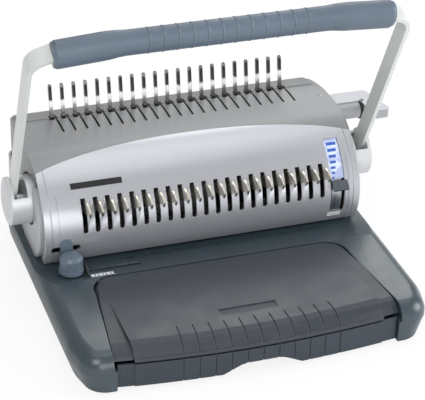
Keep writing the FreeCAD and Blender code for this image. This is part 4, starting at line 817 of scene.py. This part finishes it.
class BINDER_OT_lever_end_shade(bpy.types.Operator):
    """Turn a black collar on the end of the side lever's tube, as painted shade of the dark pocket where the tube
    meets the lever's plate
    """

    bl_idname = "binder.lever_collar"
    bl_label = "Lever end shade"

    def execute(self, context):
        outline = [(-5.0, 0.0), (-5.0, 10.4), (-5.0, 11.2), (-4.4, 12.0), (1.2, 12.3), (2.6, 11.6),
                   (3.2, 10.2), (3.4, 7.0), (1.4, 6.4), (1.4, 0.0)]
        profile = [(a / 1000.0, r / 1000.0) for a, r in outline]
        bm = bmesh.new()
        turned(bm, profile, spot(LEVER_END, LEVER_Y, LEVER_Z), (1.0, 0.0, 0.0), 56)
        # painted shade: the near-black collar stands in for the dark pocket at the tube's end
        piece = new_piece("lever_collar", mesh_of("lever_collar", bm, finish("black")), finish("black"), "opener")
        return {"FINISHED"}


def barrel_line(x, low, top, steps=60):
    """Points up the barrel's front skin between two heights."""
    start = 180.0 + math.degrees(math.asin((BARREL_Z - low) / BARREL_R))
    stop = 180.0 - math.degrees(math.asin((top - BARREL_Z) / BARREL_R))
    points = []
    for k in range(steps + 1):
        a = math.radians(start + (stop - start) * k / steps)
        points.append(spot(x, BARREL_Y + BARREL_R * math.cos(a), BARREL_Z + BARREL_R * math.sin(a)))
    return points


class BINDER_OT_barrel_rings(bpy.types.Operator):
    """Lay the second fine ring line round each end of the barrel, a thin strip of painted shade where the groove
    is
    """

    bl_idname = "binder.barrel_rings"
    bl_label = "Barrel ring lines"

    def execute(self, context):
        for name, x, low, top in (("ring_line_left", -173.0, 84.0, 128.0), ("ring_line_foot", -173.0, 47.0, 57.0),
                                  ("ring_line_right", 176.0, 47.0, 128.0)):
            tree = line_tree(name, finish("groove"))
            mesh = tree.run(carrier_of_line(name + "_path", barrel_line(x, low, top)),
                            Width=context.scene.binder_sizes.line_width, Height=0.00016)
            new_piece(name, mesh, finish("groove"), "machine")
        return {"FINISHED"}


class BINDER_OT_screws(bpy.types.Operator):
    """Set the cover screws with their random turn"""

    bl_idname = "binder.screws"
    bl_label = "Cover screws"

    def execute(self, context):
        radius = context.scene.binder_sizes.screw_radius
        cover = nodes["top_cover"]
        under = [spot(x, y, FLOOR_UNDER) for x in (-150.0, 0.0, 150.0) for y in (-140.0, 150.0)]
        wells = []
        for x in (-WELL_X, WELL_X):
            hit, place, facing, _ = cover.ray_cast(spot(x, WELL_Y, 200.0), (0.0, 0.0, -1.0))
            if not hit:
                raise RuntimeError("no cover under the screw well")
            wells.append(place)
        outward = tuple(facing.to_track_quat("Z", "Y").to_euler())
        for name, size, turn, places in (("floor_screws", radius * 1.3, (math.pi, 0.0, 0.0), under),
                                         ("cover_screws", radius, outward, wells)):
            # The near-black window finish paints the shade in the screws' cross recesses
            tree = screw_tree(finish("screw"), finish("lamp_black"))
            mesh = tree.run(carrier_of_points(name + "_places", places), Head_radius=size, Turn=turn)
            new_piece(name, mesh, finish("screw"), "machine")
        return {"FINISHED"}


def deck_height(y):
    """Height of the sloping paper table."""
    share = (y - LID_REAR_Y) / (THROAT_Y - LID_REAR_Y)
    return DECK_HIGH + (DECK_LOW - DECK_HIGH) * min(max(share, 0.0), 1.0)


def slab_on_deck(bm, x0, x1, y0, y1, lift):
    """A thin printed patch that lies on the sloping table."""
    low = [(x0, y0), (x1, y0), (x1, y1), (x0, y1)]
    under = [bm.verts.new(spot(x, y, deck_height(y) - 0.02)) for x, y in low]
    over = [bm.verts.new(spot(x, y, deck_height(y) + lift)) for x, y in low]
    bm.faces.new(under[::-1])
    bm.faces.new(over)
    for k in range(4):
        m = (k + 1) % 4
        bm.faces.new((under[k], under[m], over[m], over[k]))


class BINDER_OT_deck_marks(bpy.types.Operator):
    """Print the white patch and plain ticks beside the guide slot"""

    bl_idname = "binder.deck_marks"
    bl_label = "Deck marks"

    def execute(self, context):
        sizes = context.scene.binder_sizes
        if not sizes.show_marks:
            return {"FINISHED"}
        bm = bmesh.new()
        x = -146.0
        for width in (5.0, 3.2, 5.0, 3.2, 5.0, 3.2):
            slab_on_deck(bm, x, x + width - 0.8, -34.0, -29.0, 0.06)
            x += width + 0.4
        slab_on_deck(bm, -146.0, -118.4, -28.2, -27.6, 0.06)
        slab_on_deck(bm, -146.0, -118.4, -35.4, -34.8, 0.06)
        piece = new_piece("deck_marks", mesh_of("deck_marks", bm, finish("white_ink")), finish("white_ink"),
                          "machine")
        slope = math.atan2(DECK_LOW - DECK_HIGH, THROAT_Y - LID_REAR_Y)
        tree = tick_tree(finish("grey_ink"))
        mesh = tree.run(carrier_of_points("tick_start", [(0.0, 0.0, 0.0)]), Count=sizes.tick_count, Step=0.0035)
        mesh.transform(Matrix.Translation(spot(-116.0, -12.0, deck_height(-12.0) + 0.02))
                       @ Matrix.Rotation(slope, 4, "X"))
        new_piece("scale_ticks", mesh, finish("grey_ink"), "machine")
        return {"FINISHED"}


def patch_on_barrel(bm, x0, x1, z0, z1, lift, steps=8):
    """A thin printed patch that follows the barrel between two heights."""
    rows = []
    for k in range(steps + 1):
        z = z0 + (z1 - z0) * k / steps
        a = math.pi - math.asin((z - BARREL_Z) / BARREL_R)
        row = []
        for r in (BARREL_R - 0.1, BARREL_R + lift):
            for x in (x0, x1):
                row.append(bm.verts.new(spot(x, BARREL_Y + r * math.cos(a), BARREL_Z + r * math.sin(a))))
        rows.append(row)
    for first, second in zip(rows, rows[1:]):
        for a, b in ((0, 1), (1, 3), (3, 2), (2, 0)):
            bm.faces.new((first[a], first[b], second[b], second[a]))
    for row in (rows[0], rows[-1]):
        bm.faces.new((row[0], row[1], row[3], row[2]))


class BINDER_OT_barrel_marks(bpy.types.Operator):
    """Print the small plain marks on the barrel: the sticker under the window and the depth marks"""

    bl_idname = "binder.barrel_marks"
    bl_label = "Barrel marks"

    def execute(self, context):
        if not context.scene.binder_sizes.show_marks:
            return {"FINISHED"}
        bm = bmesh.new()
        patch_on_barrel(bm, 152.0, 168.0, 54.5, 60.0, 0.08)
        piece = new_piece("window_sticker", mesh_of("window_sticker", bm, finish("white_ink")),
                          finish("white_ink"), "machine")
        bm = bmesh.new()
        for x, tall in ((-186.0, 2.2), (-180.5, 1.4), (-151.5, 1.4), (-146.5, 2.2)):
            patch_on_barrel(bm, x - 0.35, x + 0.35, 73.6, 73.6 + tall, 0.06, 2)
        patch_on_barrel(bm, 153.6, 154.2, 56.0, 58.6, 0.14, 2)
        for k in range(9):
            x = 154.8 + 1.35 * k
            patch_on_barrel(bm, x, x + (0.8 if k % 3 else 0.4), 56.0, 58.6, 0.14, 2)
        piece = new_piece("depth_marks", mesh_of("depth_marks", bm, finish("grey_ink")), finish("grey_ink"),
                          "machine")
        return {"FINISHED"}


def aimed(obj, place, target):
    """Stand a lamp at a place and aim it."""
    obj.location = place
    obj.rotation_euler = (Vector(target) - Vector(place)).to_track_quat("-Z", "Y").to_euler()
    bpy.context.scene.collection.objects.link(obj)


class BINDER_OT_stage(bpy.types.Operator):
    """Lay the pale floor, hang the soft lamps and set the camera"""

    bl_idname = "binder.stage"
    bl_label = "Studio"

    def execute(self, context):
        scene = context.scene
        floor_mesh = bpy.data.meshes.new("floor")
        reach = 6.0
        floor_mesh.from_pydata([(-reach, -reach, 0.0), (reach, -reach, 0.0), (reach, reach, 0.0),
                                (-reach, reach, 0.0)], [], [(0, 1, 2, 3)])
        floor = bpy.data.objects.new("floor", floor_mesh)
        scene.collection.objects.link(floor)
        floor_mesh.materials.append(self.floor_material())
        for name, place, size, power in (("key_lamp", (-1.5, -2.3, 2.7), 1.8, 52.0),
                                         ("fill_lamp", (2.7, -0.9, 1.1), 1.8, 60.0),
                                         ("low_lamp", (-0.1, -2.9, 0.75), 1.5, 26.0),
                                         ("top_lamp", (0.2, 0.5, 3.0), 2.4, 24.0),
                                         ("rear_lamp", (1.2, 2.4, 1.9), 1.6, 22.0)):
            light = bpy.data.lights.new(name, "AREA")
            light.shape = "SQUARE"
            light.size = size
            light.energy = power
            aimed(bpy.data.objects.new(name, light), place, (0.0, 0.0, 0.12))
        self.world(scene)
        self.camera(scene)
        scene.view_settings.view_transform = "Standard"
        return {"FINISHED"}

    @staticmethod
    def floor_material():
        """Matt pale board: it keeps the shadow, and camera and mirrors see it nearly white."""
        material = bpy.data.materials.new("floor_board")
        material.use_nodes = True
        tree = material.node_tree
        tree.nodes.clear()
        out = tree.nodes.new("ShaderNodeOutputMaterial")
        matt = tree.nodes.new("ShaderNodeBsdfDiffuse")
        matt.inputs["Color"].default_value = (0.86, 0.86, 0.86, 1.0)
        glow = tree.nodes.new("ShaderNodeEmission")
        glow.inputs["Color"].default_value = (1.0, 1.0, 1.0, 1.0)
        glow.inputs["Strength"].default_value = 1.0
        paths = tree.nodes.new("ShaderNodeLightPath")
        seen = tree.nodes.new("ShaderNodeMath")
        seen.operation = "MAXIMUM"
        tree.links.new(paths.outputs["Is Camera Ray"], seen.inputs[0])
        tree.links.new(paths.outputs["Is Transmission Ray"], seen.inputs[1])
        share = tree.nodes.new("ShaderNodeMath")
        share.operation = "MULTIPLY"
        share.inputs[1].default_value = 0.86
        tree.links.new(seen.outputs["Value"], share.inputs[0])
        mix = tree.nodes.new("ShaderNodeMixShader")
        tree.links.new(share.outputs["Value"], mix.inputs["Fac"])
        tree.links.new(matt.outputs["BSDF"], mix.inputs[1])
        tree.links.new(glow.outputs["Emission"], mix.inputs[2])
        tree.links.new(mix.outputs["Shader"], out.inputs["Surface"])
        return material

    @staticmethod
    def world(scene):
        """Even studio light, white where the camera or a mirror sees the room."""
        world = bpy.data.worlds.new("studio")
        scene.world = world
        world.use_nodes = True
        tree = world.node_tree
        tree.nodes.clear()
        out = tree.nodes.new("ShaderNodeOutputWorld")
        room = tree.nodes.new("ShaderNodeBackground")
        room.inputs["Color"].default_value = (1.0, 1.0, 1.0, 1.0)
        room.inputs["Strength"].default_value = 0.48
        white = tree.nodes.new("ShaderNodeBackground")
        white.inputs["Color"].default_value = (1.0, 1.0, 1.0, 1.0)
        white.inputs["Strength"].default_value = 1.0
        paths = tree.nodes.new("ShaderNodeLightPath")
        mix = tree.nodes.new("ShaderNodeMixShader")
        tree.links.new(paths.outputs["Is Camera Ray"], mix.inputs["Fac"])
        tree.links.new(room.outputs["Background"], mix.inputs[1])
        tree.links.new(white.outputs["Background"], mix.inputs[2])
        tree.links.new(mix.outputs["Shader"], out.inputs["Surface"])

    @staticmethod
    def camera(scene):
        """Camera at the photograph's angle, found from the even spacing of the posts."""
        data = bpy.data.cameras.new("camera")
        data.lens = 153.79
        data.sensor_width = 36.0
        data.clip_start = 0.05
        data.clip_end = 50.0
        camera = bpy.data.objects.new("camera", data)
        scene.collection.objects.link(camera)
        yaw = math.radians(18.96)
        pitch = math.radians(30.03)
        roll = 0.0216
        ahead = Vector((math.sin(yaw) * math.cos(pitch), math.cos(yaw) * math.cos(pitch), -math.sin(pitch)))
        level = Vector((math.cos(yaw), -math.sin(yaw), 0.0))
        above = level.cross(ahead)
        right = level * math.cos(roll) + above * math.sin(roll)
        up = above * math.cos(roll) - level * math.sin(roll)
        turn = Matrix((right, up, -ahead)).transposed().to_4x4()
        camera.matrix_world = Matrix.Translation((-0.60031, -1.69305, 1.14365)) @ turn
        scene.camera = camera


class BINDER_PT_panel(bpy.types.Panel):
    """Sidebar panel with the colours, the sizes and one button for each piece"""

    bl_label = "Comb Binder"
    bl_idname = "BINDER_PT_panel"
    bl_space_type = "VIEW_3D"
    bl_region_type = "UI"
    bl_category = "Comb Binder"

    def draw(self, context):
        layout = self.layout
        for group in (context.scene.binder_colours, context.scene.binder_sizes):
            box = layout.box()
            for name in group.bl_rna.properties.keys():
                if name not in ("rna_type", "name"):
                    box.prop(group, name)
        for operator in OPERATORS:
            layout.operator(operator.bl_idname)


OPERATORS = (
    BINDER_OT_finishes,
    BINDER_OT_grip,
    BINDER_OT_hub_discs,
    BINDER_OT_lever_end_shade,
    BINDER_OT_barrel_rings,
    BINDER_OT_screws,
    BINDER_OT_deck_marks,
    BINDER_OT_barrel_marks,
    BINDER_OT_stage,
)

CLASSES = (BinderColours, BinderSizes) + OPERATORS + (BINDER_PT_panel,)


def register():
    for cls in CLASSES:
        bpy.utils.register_class(cls)
    bpy.types.Scene.binder_colours = PointerProperty(type=BinderColours)
    bpy.types.Scene.binder_sizes = PointerProperty(type=BinderSizes)


def unregister():
    del bpy.types.Scene.binder_sizes
    del bpy.types.Scene.binder_colours
    for cls in reversed(CLASSES):
        bpy.utils.unregister_class(cls)


def main():
    register()
    bpy.ops.binder.finishes()
    bpy.ops.binder.grip()
    bpy.ops.binder.hub_discs()
    bpy.ops.binder.lever_collar()
    bpy.ops.binder.barrel_rings()
    bpy.ops.binder.screws()
    bpy.ops.binder.deck_marks()
    bpy.ops.binder.barrel_marks()
    bpy.ops.binder.stage()


if __name__ == "__main__":
    main()
